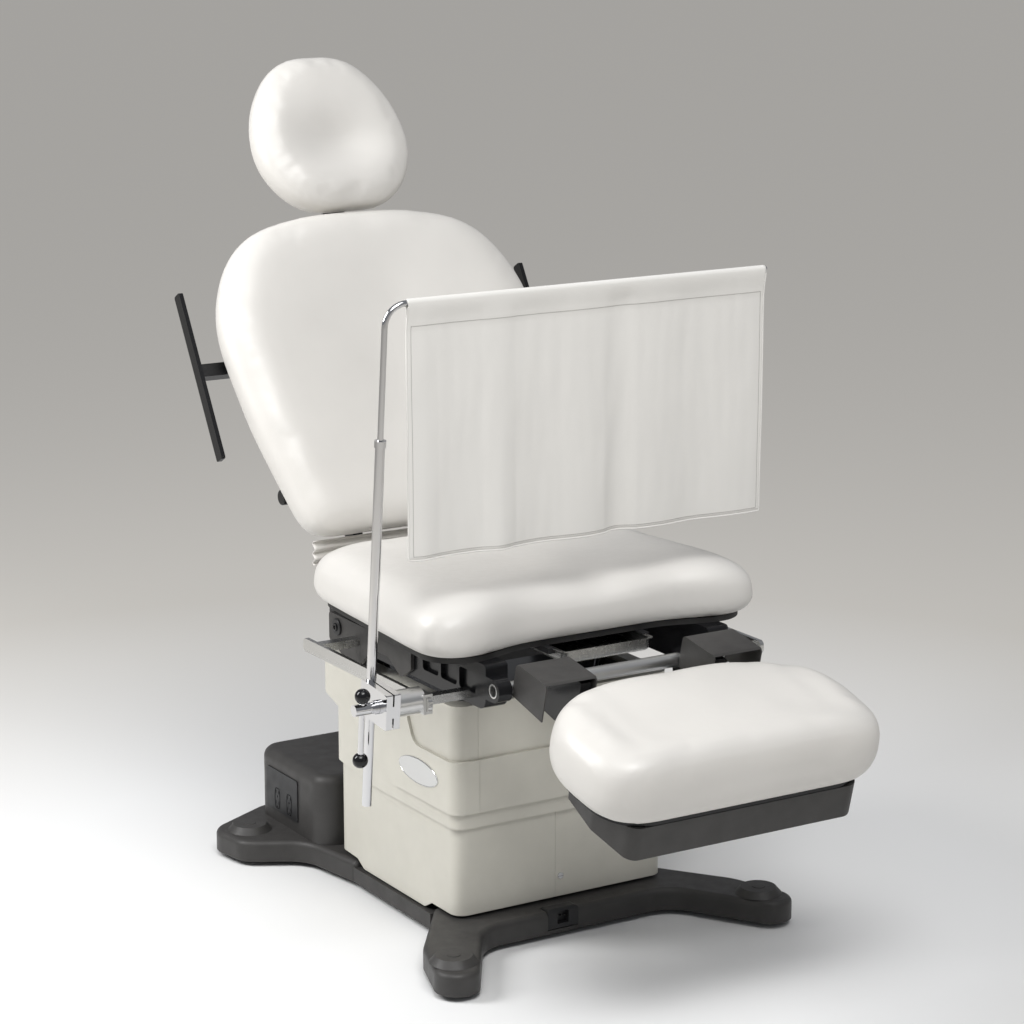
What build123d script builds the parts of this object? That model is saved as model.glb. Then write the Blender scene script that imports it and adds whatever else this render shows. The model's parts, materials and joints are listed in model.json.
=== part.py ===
"""A powered procedure chair with a drape bar, in millimetres.

It is drawn about its lift column: X to the patient's left, Y to the rear, Z up from the floor.
The last lines move it so that the origin lies on the floor under the middle of its outline.
"""
import math
import os

from build123d import *

os.makedirs("parts", exist_ok=True)

# Clearances shared by the whole chair
overrun = 4.0
rest_gap = 0.3
run_gap = 0.05
slide_gap = 1.0
link_gap = 3.5
soft_side_share = 0.49
cover_gap = 3.0
cover_wall = 4.0
seam_gap = 0.6

# Base: steel plate, two mouldings and the levelling feet
foot_front_x = 382.0
foot_front_y = -424.0
foot_rear_x = 369.0
foot_rear_y = 524.0
foot_toe_radius = 58.0
leveller_pad_radius = 22.0
leveller_pad_height = 6.0
leveller_pad_edge = 2.0
leveller_stem_radius = 6.0
leveller_nut_radius = 11.0
plate_bottom_z = 12.0
plate_thickness = 10.0
plate_web_half = 200.0
plate_front_y = -200.0
plate_rear_y = 300.0
plate_leg_half_width = 32.0
moulding_top_z = 60.0
moulding_edge_radius = 13.0
moulding_seam_y = -136.0
front_bar_x = 235.0
front_bar_y = -295.0
front_bar_radius = 90.0
front_block_rear_x = 262.0
side_strip_x = 271.0
side_strip_top_z = 46.0
rear_block_front_y = 200.0
rear_edge_x = 270.0
rear_edge_y = 668.0
paw_radius = 51.0
paw_top_z = 74.0
paw_taper = 42.0
foot_cap_radius = 14.0
foot_cap_depth = 4.0
foot_cap_crown = 1.0
front_foot_shares = ((-0.29, -1.31, 0.70), (1.30, -1.27, 0.80), (0.22, 1.83, 2.0))
rear_foot_shares = ((-1.19, -2.48, 1.55), (0.97, -1.28, 0.95), (1.31, 0.88, 1.07))

# Foot control socket on the front bar
socket_x = -36.0
socket_width = 76.0
socket_top_z = 65.0
socket_bottom_z = 20.0
socket_depth = 34.0
socket_edge_radius = 8.0
socket_window = 28.0
socket_window_depth = 14.0
socket_pin_radius = 1.5

# Rear housing with the outlet panel
housing_half_width = 290.0
housing_front_y = 318.0
housing_rear_y = 640.0
housing_top_z = 222.0
housing_corner_radius = 50.0
housing_edge_radius = 24.0
housing_wall = 5.0
outlet_panel_length = 151.0
outlet_panel_height = 98.0
outlet_panel_thickness = 3.0
outlet_panel_radius = 6.0
outlet_panel_y = 508.0
outlet_panel_z = 136.0
outlet_pitch = 58.0
outlet_forward = 6.0
outlet_drop = 18.0
outlet_width = 26.0
outlet_height = 50.0
outlet_depth = 26.0
outlet_slot_width = 2.4
outlet_slot_height = 8.0
outlet_slot_spacing = 12.7
outlet_earth_radius = 2.6
outlet_half_pitch = 12.5
inlet_x = -150.0
inlet_z = 120.0
inlet_width = 48.0
inlet_height = 28.0
inlet_depth = 24.0
inlet_flange = 4.0
inlet_flange_thickness = 2.5
inlet_pin_width = 2.0
inlet_pin_height = 4.0
inlet_pin_pitch = 7.0

# Telescoping covers round the lift column
lower_half_width = 262.6
lower_front_y = -233.7
lower_rear_y = 286.6
lower_corner_radius = 30.0
lower_bottom_z = 67.3
lower_top_z = 288.0
lower_side_drop = 17.0
lower_drop_front_y = -98.0
lower_drop_rear_y = 172.0
lower_drop_run = 30.0
lower_seam_x = -18.0
cover_screw_x = -5.0
cover_screw_z = 113.0
cover_screw_radius = 4.0
cover_screw_head_radius = 7.0
cover_screw_head_height = 2.0
cover_screw_length = 14.0
middle_bottom_z = 262.0
middle_top_z = 438.0
middle_front_top_z = 322.0
middle_slope_start_y = 20.0
middle_rear_lift = 21.0
middle_lift_start_y = 122.0
upper_bottom_z = 296.0
upper_top_z = 530.0
upper_slope_start_y = 10.0
upper_slope_start_radius = 40.0
upper_slope_middle_y = 175.0
upper_slope_middle_z = 381.0
upper_slope_radius = 400.0
upper_rear_y = 340.0
upper_rear_bottom_z = 436.0
upper_rim_width = 36.0
recess_bottom_z = 411.0
recess_front_depth = 7.0
recess_side_depth = 7.0
recess_turn_y = -76.0
recess_rear_y = -18.0
recess_radius = 40.0
front_panel_half_width = 214.0
badge_length = 164.0
badge_height = 56.0
badge_thickness = 2.0
badge_edge_radius = 1.2
badge_y = -100.0
badge_z = 357.0

# Lift column in three square stages
column_outer_half = 92.0
column_wall = 6.0
column_corner_radius = 12.0
column_flange_half = 130.0
column_flange_thickness = 10.0
column_lower_top_z = 286.0
column_middle_bottom_z = 146.0
column_middle_top_z = 416.0
column_upper_bottom_z = 256.0
arm_thickness = 4.0
arm_width = 35.0
arm_cross_y = 62.0
arm_rear_cross_y = 244.0
lower_arm_z = 150.0

# Carriage plate on top of the column, with the ears of the seat pivot
carriage_top_z = 508.0
carriage_thickness = 10.0
carriage_side_gap = 11.6
carriage_front_y = -222.0
carriage_rear_y = 276.0
carriage_corner_radius = 26.0
carriage_block_length = 40.0
carriage_block_width = 14.0
carriage_block_front_y = -150.0
carriage_block_rear_y = 110.0
carriage_front_block_width = 300.0
ear_inset = 34.0
ear_thickness = 12.0
ear_radius = 30.0
ear_foot_front_y = 120.0
ear_foot_rear_y = 262.0
ear_foot_height = 12.0

# Seat frame, its tilt pivot and the accessory rails
seat_pivot_y = 201.0
seat_pivot_z = 617.0
pivot_pin_radius = 11.0
beam_inner_x = 246.0
beam_outer_x = 298.0
beam_bottom_z = 574.0
beam_top_z = 668.7
beam_front_y = -412.0
beam_rear_y = 252.0
beam_nose_radius = 24.0
beam_edge_radius = 8.0
beam_rear_rise = 26.0
beam_pocket_depth = 9.0
beam_pocket_height = 44.0
beam_pocket_front_y = -372.0
beam_pocket_rear_y = -158.0
beam_rib_width = 10.0
front_cross_y = -170.0
front_cross_bottom_z = 598.0
front_cross_top_z = 636.0
rear_cross_y = 130.0
rear_cross_bottom_z = 640.0
cross_depth = 34.0
side_plate_thickness = 8.0
side_plate_top_z = 634.0
side_plate_front_y = -122.0
side_plate_rear_y = 240.0
side_plate_lobe_z = 545.0
side_plate_corner_radius = 14.0
side_plate_shares = ((0.0, 1.0, 0.5), (1.0, 1.0, 0.5), (1.0, 0.3, 0.8), (0.80, 0.0, 1.5),
                     (0.62, 0.0, 1.5), (0.46, 0.55, 2.0), (0.27, 0.55, 2.0), (0.12, 0.2, 1.0), (0.0, 0.5, 0.5))
pivot_cap_radius = 19.0
pivot_cap_height = 5.0
rail_width = 28.6
rail_thickness = 9.5
seat_rail_x = 408.9
seat_rail_z = 595.5
seat_rail_front_y = -383.5
seat_rail_length = 540.0
rail_end_radius = 10.0
standoff_width = 24.0
standoff_height = 18.0
standoff_inset = 42.0

# Seat cushion on its board, measured on its widest outline
seat_board_thickness = 12.0
seat_board_share = 0.93
seat_cushion_height = 109.0
seat_half_width = 418.0
seat_rear_half_width = 374.0
seat_rear_radius = 140.0
seat_front_y = -405.0
seat_front_radius = 85.0
seat_lobe_x = 300.0
seat_lobe_radius = 120.0
seat_dip_x = 190.0
seat_dip_y = -368.0
seat_dip_radius = 250.0
seat_rear_y = 272.0
seat_level_shares = ((0.0, 0.955), (0.11, 0.985), (0.32, 1.0), (0.55, 0.995), (0.75, 0.965),
                     (0.90, 0.915), (0.97, 0.80), (1.0, 0.50))

# Back section: its plane leans back from the vertical through a point above the seat
back_lean = 30.5
back_plane_y = 280.0
back_plane_z = 740.0
back_pivot_y = 304.0
back_pivot_z = 700.0
back_thickness = 98.0
back_bottom_s = 48.0
back_top_s = 812.0
back_bottom_half_width = 318.0
back_waist_s = 320.0
back_waist_half_width = 384.0
back_half_width = 416.0
back_widest_s = 585.0
back_shoulder_s = 765.0
back_shoulder_half_width = 318.0
back_crown_half_width = 140.0
back_bottom_radius = 50.0
back_waist_radius = 600.0
back_level_shares = ((0.0, 0.94), (0.10, 0.975), (0.30, 0.997), (0.50, 1.0), (0.70, 0.988),
                     (0.85, 0.955), (0.94, 0.90), (0.985, 0.80), (1.0, 0.62))
back_board_thickness = 10.0
back_board_share = 0.90
back_arm_x = 165.0
back_arm_width = 24.0
back_arm_depth = 39.0
back_arm_top_depth = 22.0
back_arm_top_s = 560.0
back_arm_low_s = 60.0
back_eye_radius = 18.0
back_pin_radius = 9.0
torque_tube_radius = 14.0
hinge_ear_thickness = 12.0
hinge_ear_low_z = 642.0
hinge_ear_step_y = 262.0
lever_x = -60.0
lever_thickness = 14.0
lever_half_width = 17.0
lever_length = 122.0
lever_pin_drop = 90.0
lever_rest_angle = 30.0
back_rail_x = 445.0
back_rail_low_s = 274.0
back_rail_high_s = 669.0
back_rail_depth = 62.0
back_standoff_s = 486.0
back_standoff_size = 30.0
cross_shaft_radius = 17.5
cross_shaft_half_length = 318.0
cross_shaft_s = 176.0
cross_shaft_lug = 27.0
shaft_cap_edge = 3.0
flap_top_s = 62.0
flap_bottom_s = 4.0
flap_half_width = 296.0
flap_thickness = 3.0
flap_fold_depth = 7.0
flap_slit = 14.0

# Headrest on its sliding bar
head_bottom_s = 815.0
head_height = 388.0
head_thickness = 88.0
head_bottom_half_width = 120.0
head_low_half_width = 207.0
head_high_half_width = 190.0
head_top_half_width = 110.0
head_low_share = 0.30
head_high_share = 0.68
head_level_shares = ((0.0, 0.90), (0.10, 0.955), (0.30, 0.995), (0.50, 1.0), (0.70, 0.98),
                     (0.85, 0.93), (0.94, 0.86), (0.985, 0.74), (1.0, 0.55))
head_board_thickness = 9.0
head_board_share = 0.82
head_hollow_depth = 9.0
head_hollow_half_width = 92.0
head_hollow_half_height = 74.0
head_hollow_s_share = 0.50
head_bar_width = 56.0
head_bar_thickness = 8.0
head_bar_depth = 73.0
head_bar_low_s = 600.0
head_bar_high_s = 936.0
head_guide_low_s = 640.0
head_guide_high_s = 770.0
head_guide_wall = 5.0
head_pivot_s = 952.0
head_knuckle_radius = 13.0
head_pin_radius = 5.0
head_knuckle_width = 56.0
head_knuckle_slot = 26.0

# Foot section: its plane slopes forward and down from the top of its rear edge
foot_slope = 14.0
foot_top_y = -605.0
foot_top_z = 690.0
foot_hinge_y = -440.0
foot_hinge_z = 622.0
foot_tube_radius = 15.0
foot_lug_radius = 24.0
foot_lug_inner_x = 266.0
foot_rear_half_width = 200.0
foot_half_width = 350.0
foot_widest_u = 110.0
foot_front_half_width = 340.0
foot_front_u = 362.0
foot_rear_rise = 8.0
foot_front_radius = 105.0
foot_cushion_height = 142.0
foot_level_shares = ((0.0, 0.93), (0.06, 0.965), (0.30, 0.995), (0.52, 1.0), (0.74, 0.98),
                     (0.88, 0.93), (0.96, 0.85), (1.0, 0.70))
foot_hollow_depth = 12.0
foot_hollow_half_width = 200.0
foot_hollow_length = 250.0
foot_hollow_u = 165.0
foot_hollow_radius = 70.0
foot_board_thickness = 8.0
foot_board_share = 0.90
foot_bar_outer_x = 175.0
foot_bar_width = 24.0
foot_bar_height = 15.0
foot_bar_front_u = 140.0
foot_cross_u = -60.0
foot_cross_width = 26.0
foot_channel_wall = 3.0
foot_channel_lip = 7.0
foot_cover_inner_x = 142.0
foot_cover_outer_x = 262.0
foot_cover_rear_u = -128.0
foot_cover_front_u = -13.0
foot_cover_top_n = -30.0
foot_cover_top_drop = 10.0
foot_cover_bottom_n = -112.0
foot_cover_wall = 3.0
foot_cover_edge_radius = 10.0
foot_gusset_front_u = -20.0
tray_half_width = 296.0
tray_front_half_width = 266.0
tray_rear_u = 150.0
tray_front_u = 345.0
tray_rear_depth = 26.0
tray_front_depth = 72.0
tray_wall = 3.5
tray_corner_radius = 30.0

# Treatment pan under the seat front
pan_half_width = 107.0
pan_front_y = -407.0
pan_length = 290.0
pan_bottom_z = 641.0
pan_top_z = 667.0
pan_wall = 2.0
pan_corner_radius = 14.0
pan_lip_width = 9.0
runner_web = 8.0
runner_height = 12.0
runner_front_y = -372.0
runner_length = 262.0

# Rail clamp with its split jaws, screw and tommy bar
clamp_y = -346.0
clamp_z = 599.0
clamp_radius = 27.5
clamp_outer_x = 480.0
clamp_hook_reach = 5.0
clamp_hook_height = 6.0
clamp_edge_radius = 3.0
jaw_front_reach = 40.0
jaw_rear_reach = 66.0
jaw_height = 74.0
jaw_thickness = 14.0
jaw_gap = 3.5
jaw_edge_radius = 2.0
post_offset = 53.0
screw_radius = 8.0
screw_length = 30.0
hub_radius = 12.0
hub_length = 52.0
hub_collar_radius = 14.5
hub_collar_length = 9.0
bar_radius = 6.0
bar_from_hub_end = 19.0
bar_ball_distance = 137.0
ball_radius = 15.9

# Post, sliding rod and the drape that hangs on it
post_lean = 5.4
post_radius = 10.0
post_bottom = -235.0
post_top = 538.0
post_collar_radius = 12.0
post_collar_length = 14.0
rod_radius = 6.2
rod_bend_radius = 45.0
rod_level = 810.0
rod_reach = 905.0
rod_inside = 260.0
drape_width = 855.0
drape_height = 524.0
drape_thickness = 3.0
sleeve_height = 55.0
sleeve_wall = 2.4
drape_end_gap = 4.0
fold_shares = (0.0, 0.13, 0.26, 0.37, 0.46, 0.58, 0.71, 0.80, 0.92, 1.0)
fold_depths = (6.0, 9.0, 7.0, 12.0, 8.0, 10.0, 13.0, 8.0, 11.0)
fold_top_share = 0.12

# Actuators
actuator_body_radius = 21.0
actuator_rod_radius = 10.0
actuator_eye_radius = 16.0
actuator_eye_width = 16.0
actuator_pin_radius = 8.0
tilt_actuator_x = 168.0
tilt_low_y = -50.0
tilt_low_z = 330.0
tilt_high_y = -130.0
tilt_high_z = 580.0
tilt_body_share = 0.55
actuator_plate_thickness = 6.0
actuator_plate_radius = 18.0
carriage_notch_half = 28.0
carriage_notch_front_y = -150.0
carriage_notch_rear_y = -60.0
back_body_front_y = -153.0
back_body_length = 240.0
back_rod_start_share = 0.56

pieces = []


def finish(piece, name):
    """Keep a finished piece for the export at the end."""
    piece.part.label = name
    pieces.append(piece)


def mirrored_outline(corners):
    """Corners (x, y, radius) of the right half, continued by the same corners on the left."""
    left_half = [(-x, y, radius) for x, y, radius in reversed(corners)]
    return list(corners) + left_half


def softened(corners):
    """The same closed outline, its sharp corners given the largest radius their sides allow."""
    soft = []
    for index, (x, y, radius) in enumerate(corners):
        before_x, before_y, before_radius = corners[index - 1]
        after_x, after_y, after_radius = corners[(index + 1) % len(corners)]
        into = Vector(x - before_x, y - before_y)
        onward = Vector(after_x - x, after_y - y)
        reach = soft_side_share * min(into.length, onward.length)
        turn = math.radians(into.get_angle(onward))
        soft.append((x, y, radius or reach / math.tan(turn / 2)))
    return soft


def rounded_face(corners, share=1.0, middle=(0.0, 0.0)):
    """A face inside a BuildSketch from rounded corners, drawn in by a share about its middle."""
    cx, cy = middle
    points = [(cx + (x - cx) * share, cy + (y - cy) * share) for x, y, radius in corners]
    radii = [radius * share for x, y, radius in corners]
    with BuildLine() as outline:
        FilletPolyline(*points, radius=radii, close=True)
    make_face(outline.edges())


def soft_pad(plane, corners, middle, height, level_shares):
    """A closed crowned pad: one outline, drawn in below and above its widest level."""
    with BuildPart() as pad:
        for height_share, share in level_shares:
            with BuildSketch(plane.offset(height * height_share)):
                rounded_face(corners, share, middle)
        loft(ruled=True)
    return pad


def side_plane(x):
    """A plane across the chair: its x runs to the rear and its y runs up."""
    return Plane(origin=(x, 0, 0), x_dir=(0, 1, 0), z_dir=(1, 0, 0))


def turned_plane(x, y, z, lean):
    """A side plane at a point, turned so that its y leans forward by an angle."""
    tilt = math.radians(lean)
    return Plane(origin=(x, y, z), x_dir=(0, math.cos(tilt), math.sin(tilt)), z_dir=(1, 0, 0))


def moved_point(plane, x, y, z=0.0):
    """The place in the chair of a point given on a plane."""
    return plane.from_local_coords((x, y, z))


# Planes of the back: one in its middle surface, one across it with x forward and y up the back
back_forward = (0, -math.cos(math.radians(back_lean)), math.sin(math.radians(back_lean)))
back_middle = Plane(origin=(0, back_plane_y, back_plane_z), x_dir=(1, 0, 0), z_dir=back_forward)


def back_side(x):
    """A plane across the back: its x is the depth in front of the middle, its y climbs the back."""
    return Plane(origin=(x, back_plane_y, back_plane_z), x_dir=back_forward, z_dir=(-1, 0, 0))


# Planes of the foot section: y on the first and x on the second run back up its slope
foot_rearward = (0, math.cos(math.radians(foot_slope)), math.sin(math.radians(foot_slope)))
foot_upward = (0, -math.sin(math.radians(foot_slope)), math.cos(math.radians(foot_slope)))
foot_top = Plane(origin=(0, foot_top_y, foot_top_z), x_dir=(1, 0, 0), z_dir=foot_upward)


def foot_side(x):
    """A plane across the foot section: its x runs rearward, its y is the height above the top."""
    return Plane(origin=(x, foot_top_y, foot_top_z), x_dir=foot_rearward, z_dir=(1, 0, 0))


# Base outlines, right half, from the front to the rear
def foot_corners(x, y, shares):
    """Corners round one foot, as shares of its toe radius about the foot's place."""
    return [(x + foot_toe_radius * a, y + foot_toe_radius * b, foot_toe_radius * r) for a, b, r in shares]


front_outline = mirrored_outline(
    [(front_bar_x, front_bar_y, front_bar_radius)]
    + foot_corners(foot_front_x, foot_front_y, front_foot_shares)
    + [(front_block_rear_x, moulding_seam_y - rest_gap, moulding_edge_radius)]
)
rear_outline = mirrored_outline(
    [(side_strip_x, rear_block_front_y, moulding_edge_radius)]
    + foot_corners(foot_rear_x, foot_rear_y, rear_foot_shares)
    + [(rear_edge_x, rear_edge_y, foot_toe_radius)]
)
front_feet = [(-foot_front_x, foot_front_y), (foot_front_x, foot_front_y)]
rear_feet = [(-foot_rear_x, foot_rear_y), (foot_rear_x, foot_rear_y)]
plate_top_z = plate_bottom_z + plate_thickness
strip_front_y = moulding_seam_y + rest_gap
strip_length = rear_block_front_y + moulding_edge_radius - strip_front_y


def plate_face(clearance):
    """The outline of the steel plate, grown by a clearance: a web and a leg to each foot."""
    half_leg = plate_leg_half_width + clearance
    with Locations((0, (plate_front_y + plate_rear_y) / 2)):
        Rectangle(2 * (plate_web_half + half_leg), plate_rear_y - plate_front_y + 2 * half_leg)
    for foot_x, foot_y in front_feet + rear_feet:
        root_y = plate_front_y if foot_y < 0 else plate_rear_y
        root = (math.copysign(plate_web_half, foot_x), root_y)
        middle = ((root[0] + foot_x) / 2, (root[1] + foot_y) / 2)
        SlotCenterPoint(middle, (foot_x, foot_y), 2 * half_leg)


# Base plate
with BuildPart() as base_plate:
    with BuildSketch(Plane.XY.offset(plate_bottom_z)):
        plate_face(0)
        with Locations(*front_feet, *rear_feet):
            Circle(leveller_stem_radius + run_gap, mode=Mode.SUBTRACT)
    extrude(amount=plate_thickness)
finish(base_plate, "base_plate")


def moulding_paws(feet):
    """Raised round toes of a moulding, each with a seat for its cap."""
    with BuildSketch(Plane.XY.offset(moulding_top_z)) as toes:
        with Locations(*feet):
            Circle(paw_radius)
    extrude(toes.sketch, amount=paw_top_z - moulding_top_z, taper=paw_taper)
    with BuildSketch(Plane.XY.offset(paw_top_z)) as seats:
        with Locations(*feet):
            Circle(foot_cap_radius + rest_gap)
    extrude(seats.sketch, amount=-foot_cap_depth, mode=Mode.SUBTRACT)


def plate_pocket():
    """Hollow the underside of a moulding so that it drops over the steel plate."""
    with BuildSketch(Plane.XY.offset(plate_bottom_z)) as pocket:
        plate_face(rest_gap)
    extrude(pocket.sketch, amount=plate_thickness, mode=Mode.SUBTRACT)


# Front moulding, with a seat for the control socket
with BuildPart() as front_base_cover:
    with BuildSketch(Plane.XY.offset(plate_bottom_z)):
        rounded_face(front_outline)
    extrude(amount=moulding_top_z - plate_bottom_z)
    fillet(front_base_cover.edges().group_by(Axis.Z)[-1], moulding_edge_radius)
    moulding_paws(front_feet)
    plate_pocket()
    with BuildSketch(Plane.XY.offset(socket_bottom_z)):
        with Locations((socket_x, front_bar_y + socket_depth / 2)):
            Rectangle(socket_width + 2 * rest_gap, socket_depth + 2 * rest_gap)
    extrude(amount=socket_top_z, mode=Mode.SUBTRACT)
finish(front_base_cover, "front_base_cover")

# Rear moulding, with the low strips along both sides and a window round the column flange
with BuildPart() as rear_base_cover:
    with BuildSketch(Plane.XY.offset(plate_bottom_z)):
        rounded_face(rear_outline)
    extrude(amount=moulding_top_z - plate_bottom_z)
    fillet(rear_base_cover.edges().group_by(Axis.Z)[-1], moulding_edge_radius)
    moulding_paws(rear_feet)
    with BuildSketch(Plane.XY.offset(plate_bottom_z)):
        with Locations((0, strip_front_y + strip_length / 2)):
            Rectangle(2 * side_strip_x, strip_length)
    extrude(amount=side_strip_top_z - plate_bottom_z)
    with BuildSketch(Plane.XY.offset(plate_bottom_z)):
        Rectangle(2 * (column_flange_half + slide_gap), 2 * (column_flange_half + slide_gap))
    extrude(amount=moulding_top_z, mode=Mode.SUBTRACT)
    plate_pocket()
finish(rear_base_cover, "rear_base_cover")

# Levelling feet: pad, lock nut and stem
with BuildPart() as levelling_feet:
    with BuildSketch(Plane.XY):
        with Locations(*front_feet, *rear_feet):
            Circle(leveller_pad_radius)
    extrude(amount=leveller_pad_height)
    fillet(levelling_feet.edges().group_by(Axis.Z)[-1], leveller_pad_edge)
    with BuildSketch(Plane.XY.offset(leveller_pad_height)):
        with Locations(*front_feet, *rear_feet):
            RegularPolygon(leveller_nut_radius, 6)
    extrude(amount=plate_bottom_z - leveller_pad_height)
    with BuildSketch(Plane.XY.offset(plate_bottom_z)):
        with Locations(*front_feet, *rear_feet):
            Circle(leveller_stem_radius)
    extrude(amount=plate_thickness)
finish(levelling_feet, "levelling_feet")

# Caps over the levelling stems
with BuildPart() as foot_caps:
    with BuildSketch(Plane.XY.offset(paw_top_z - foot_cap_depth)):
        with Locations(*front_feet, *rear_feet):
            Circle(foot_cap_radius)
    extrude(amount=foot_cap_depth + foot_cap_crown)
    fillet(foot_caps.edges().group_by(Axis.Z)[-1], foot_cap_crown)
finish(foot_caps, "foot_caps")

# Control socket: a hooded block with a keyed window and three contacts
socket_middle_y = front_bar_y + socket_depth / 2
socket_middle_z = (socket_bottom_z + moulding_top_z) / 2 + plate_thickness / 2
with BuildPart() as control_socket:
    with BuildSketch(Plane.XY.offset(plate_top_z)):
        with Locations((socket_x, socket_middle_y)):
            Rectangle(socket_width, socket_depth)
    extrude(amount=socket_top_z - plate_top_z)
    fillet(control_socket.edges().group_by(Axis.Z)[-1], socket_edge_radius)
    with BuildSketch(Plane.XZ.offset(-front_bar_y)):
        with Locations((socket_x, socket_middle_z)):
            RectangleRounded(socket_window, socket_window, leveller_pad_edge)
    extrude(amount=-socket_window_depth, mode=Mode.SUBTRACT)
    with BuildSketch(Plane.XZ.offset(-front_bar_y - socket_window_depth)):
        with Locations((socket_x, socket_middle_z)):
            with GridLocations(socket_window / 3, 0, 3, 1):
                Circle(socket_pin_radius)
    extrude(amount=socket_window_depth / 2)
finish(control_socket, "control_socket")

# Rear housing: a shell open below, with windows for the outlets and the power inlet
housing_middle_y = (housing_front_y + housing_rear_y) / 2
outlet_plane = Plane(
    origin=(-housing_half_width, outlet_panel_y - outlet_forward, outlet_panel_z - outlet_drop),
    x_dir=(0, -1, 0),
    z_dir=(-1, 0, 0),
)
panel_plane = Plane(
    origin=(-housing_half_width, outlet_panel_y, outlet_panel_z), x_dir=(0, -1, 0), z_dir=(-1, 0, 0)
)
inlet_plane = Plane(origin=(inlet_x, housing_rear_y, inlet_z), x_dir=(-1, 0, 0), z_dir=(0, 1, 0))
with BuildPart() as rear_housing:
    with BuildSketch(Plane.XY.offset(moulding_top_z)):
        with Locations((0, housing_middle_y)):
            RectangleRounded(2 * housing_half_width, housing_rear_y - housing_front_y, housing_corner_radius)
    extrude(amount=housing_top_z - moulding_top_z)
    fillet(rear_housing.edges().group_by(Axis.Z)[-1], housing_edge_radius)
    offset(amount=-housing_wall, openings=rear_housing.faces().sort_by(Axis.Z)[0])
    with BuildSketch(outlet_plane):
        with GridLocations(outlet_pitch, 0, 2, 1):
            Rectangle(outlet_width + 2 * rest_gap, outlet_height + 2 * rest_gap)
    extrude(amount=-2 * housing_wall, mode=Mode.SUBTRACT)
    with BuildSketch(inlet_plane):
        Rectangle(inlet_width + 2 * rest_gap, inlet_height + 2 * rest_gap)
    extrude(amount=-2 * housing_wall, mode=Mode.SUBTRACT)
finish(rear_housing, "rear_housing")

# Outlet panel
with BuildPart() as outlet_panel:
    with BuildSketch(panel_plane):
        RectangleRounded(outlet_panel_length, outlet_panel_height, outlet_panel_radius)
    extrude(amount=outlet_panel_thickness)
    with BuildSketch(outlet_plane):
        with GridLocations(outlet_pitch, 0, 2, 1):
            Rectangle(outlet_width + 2 * rest_gap, outlet_height + 2 * rest_gap)
    extrude(amount=outlet_panel_thickness, mode=Mode.SUBTRACT)
finish(outlet_panel, "outlet_panel")

# Outlets: two duplex receptacles with two blade slots and an earth hole each
with BuildPart() as outlets:
    with BuildSketch(outlet_plane.offset(outlet_panel_thickness)):
        with GridLocations(outlet_pitch, 0, 2, 1):
            Rectangle(outlet_width, outlet_height)
    extrude(amount=-outlet_depth)
    with BuildSketch(outlet_plane.offset(outlet_panel_thickness)):
        with GridLocations(outlet_pitch, 2 * outlet_half_pitch, 2, 2):
            with Locations((0, outlet_earth_radius)):
                with GridLocations(outlet_slot_spacing, 0, 2, 1):
                    Rectangle(outlet_slot_width, outlet_slot_height)
            with Locations((0, -outlet_slot_height)):
                Circle(outlet_earth_radius)
    extrude(amount=-outlet_depth / 2, mode=Mode.SUBTRACT)
finish(outlets, "outlets")

# Power inlet: flange, well and three blades
with BuildPart() as power_inlet:
    with BuildSketch(inlet_plane):
        RectangleRounded(inlet_width + 2 * inlet_flange, inlet_height + 2 * inlet_flange, inlet_flange)
    extrude(amount=inlet_flange_thickness)
    with BuildSketch(inlet_plane):
        Rectangle(inlet_width, inlet_height)
    extrude(amount=-inlet_depth)
    with BuildSketch(inlet_plane.offset(inlet_flange_thickness)):
        Rectangle(inlet_width - 2 * inlet_flange, inlet_height - 2 * inlet_flange)
    extrude(amount=-inlet_depth, mode=Mode.SUBTRACT)
    with BuildSketch(inlet_plane.offset(-inlet_depth)):
        with GridLocations(inlet_pin_pitch, 0, 3, 1):
            Rectangle(inlet_pin_width, inlet_pin_height)
    extrude(amount=inlet_depth - inlet_flange)
finish(power_inlet, "power_inlet")


# Telescoping covers: each is a tube round the column, one gap and one wall outside the last
def cover_tube(half_width, front_y, rear_y, bottom_z, top_z, wall):
    """A rounded rectangular tube, or with no wall the whole block."""
    with BuildSketch(Plane.XY.offset(bottom_z)) as section:
        with Locations((0, (front_y + rear_y) / 2)):
            RectangleRounded(2 * half_width, rear_y - front_y, lower_corner_radius)
            if wall:
                RectangleRounded(
                    2 * (half_width - wall), rear_y - front_y - 2 * wall, lower_corner_radius - wall,
                    mode=Mode.SUBTRACT,
                )
    extrude(section.sketch, amount=top_z - bottom_z)


def cut_across(corners):
    """Cut a side outline, given as corners (y, z, radius), right through the piece."""
    with BuildSketch(side_plane(0)) as outline:
        rounded_face(corners)
    extrude(outline.sketch, amount=housing_half_width + overrun, both=True, mode=Mode.SUBTRACT)


lower_drop_z = lower_bottom_z - lower_side_drop
lower_cut = [
    (lower_front_y - overrun, lower_drop_z - overrun, 0),
    (lower_front_y - overrun, lower_bottom_z, 0),
    (lower_drop_front_y - lower_drop_run, lower_bottom_z, lower_side_drop),
    (lower_drop_front_y, lower_drop_z, lower_side_drop),
    (lower_drop_rear_y, lower_drop_z, lower_side_drop),
    (lower_drop_rear_y + lower_drop_run, lower_bottom_z, lower_side_drop),
    (lower_rear_y + overrun, lower_bottom_z + overrun, 0),
    (lower_rear_y + overrun, lower_drop_z - overrun, 0),
]


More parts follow.
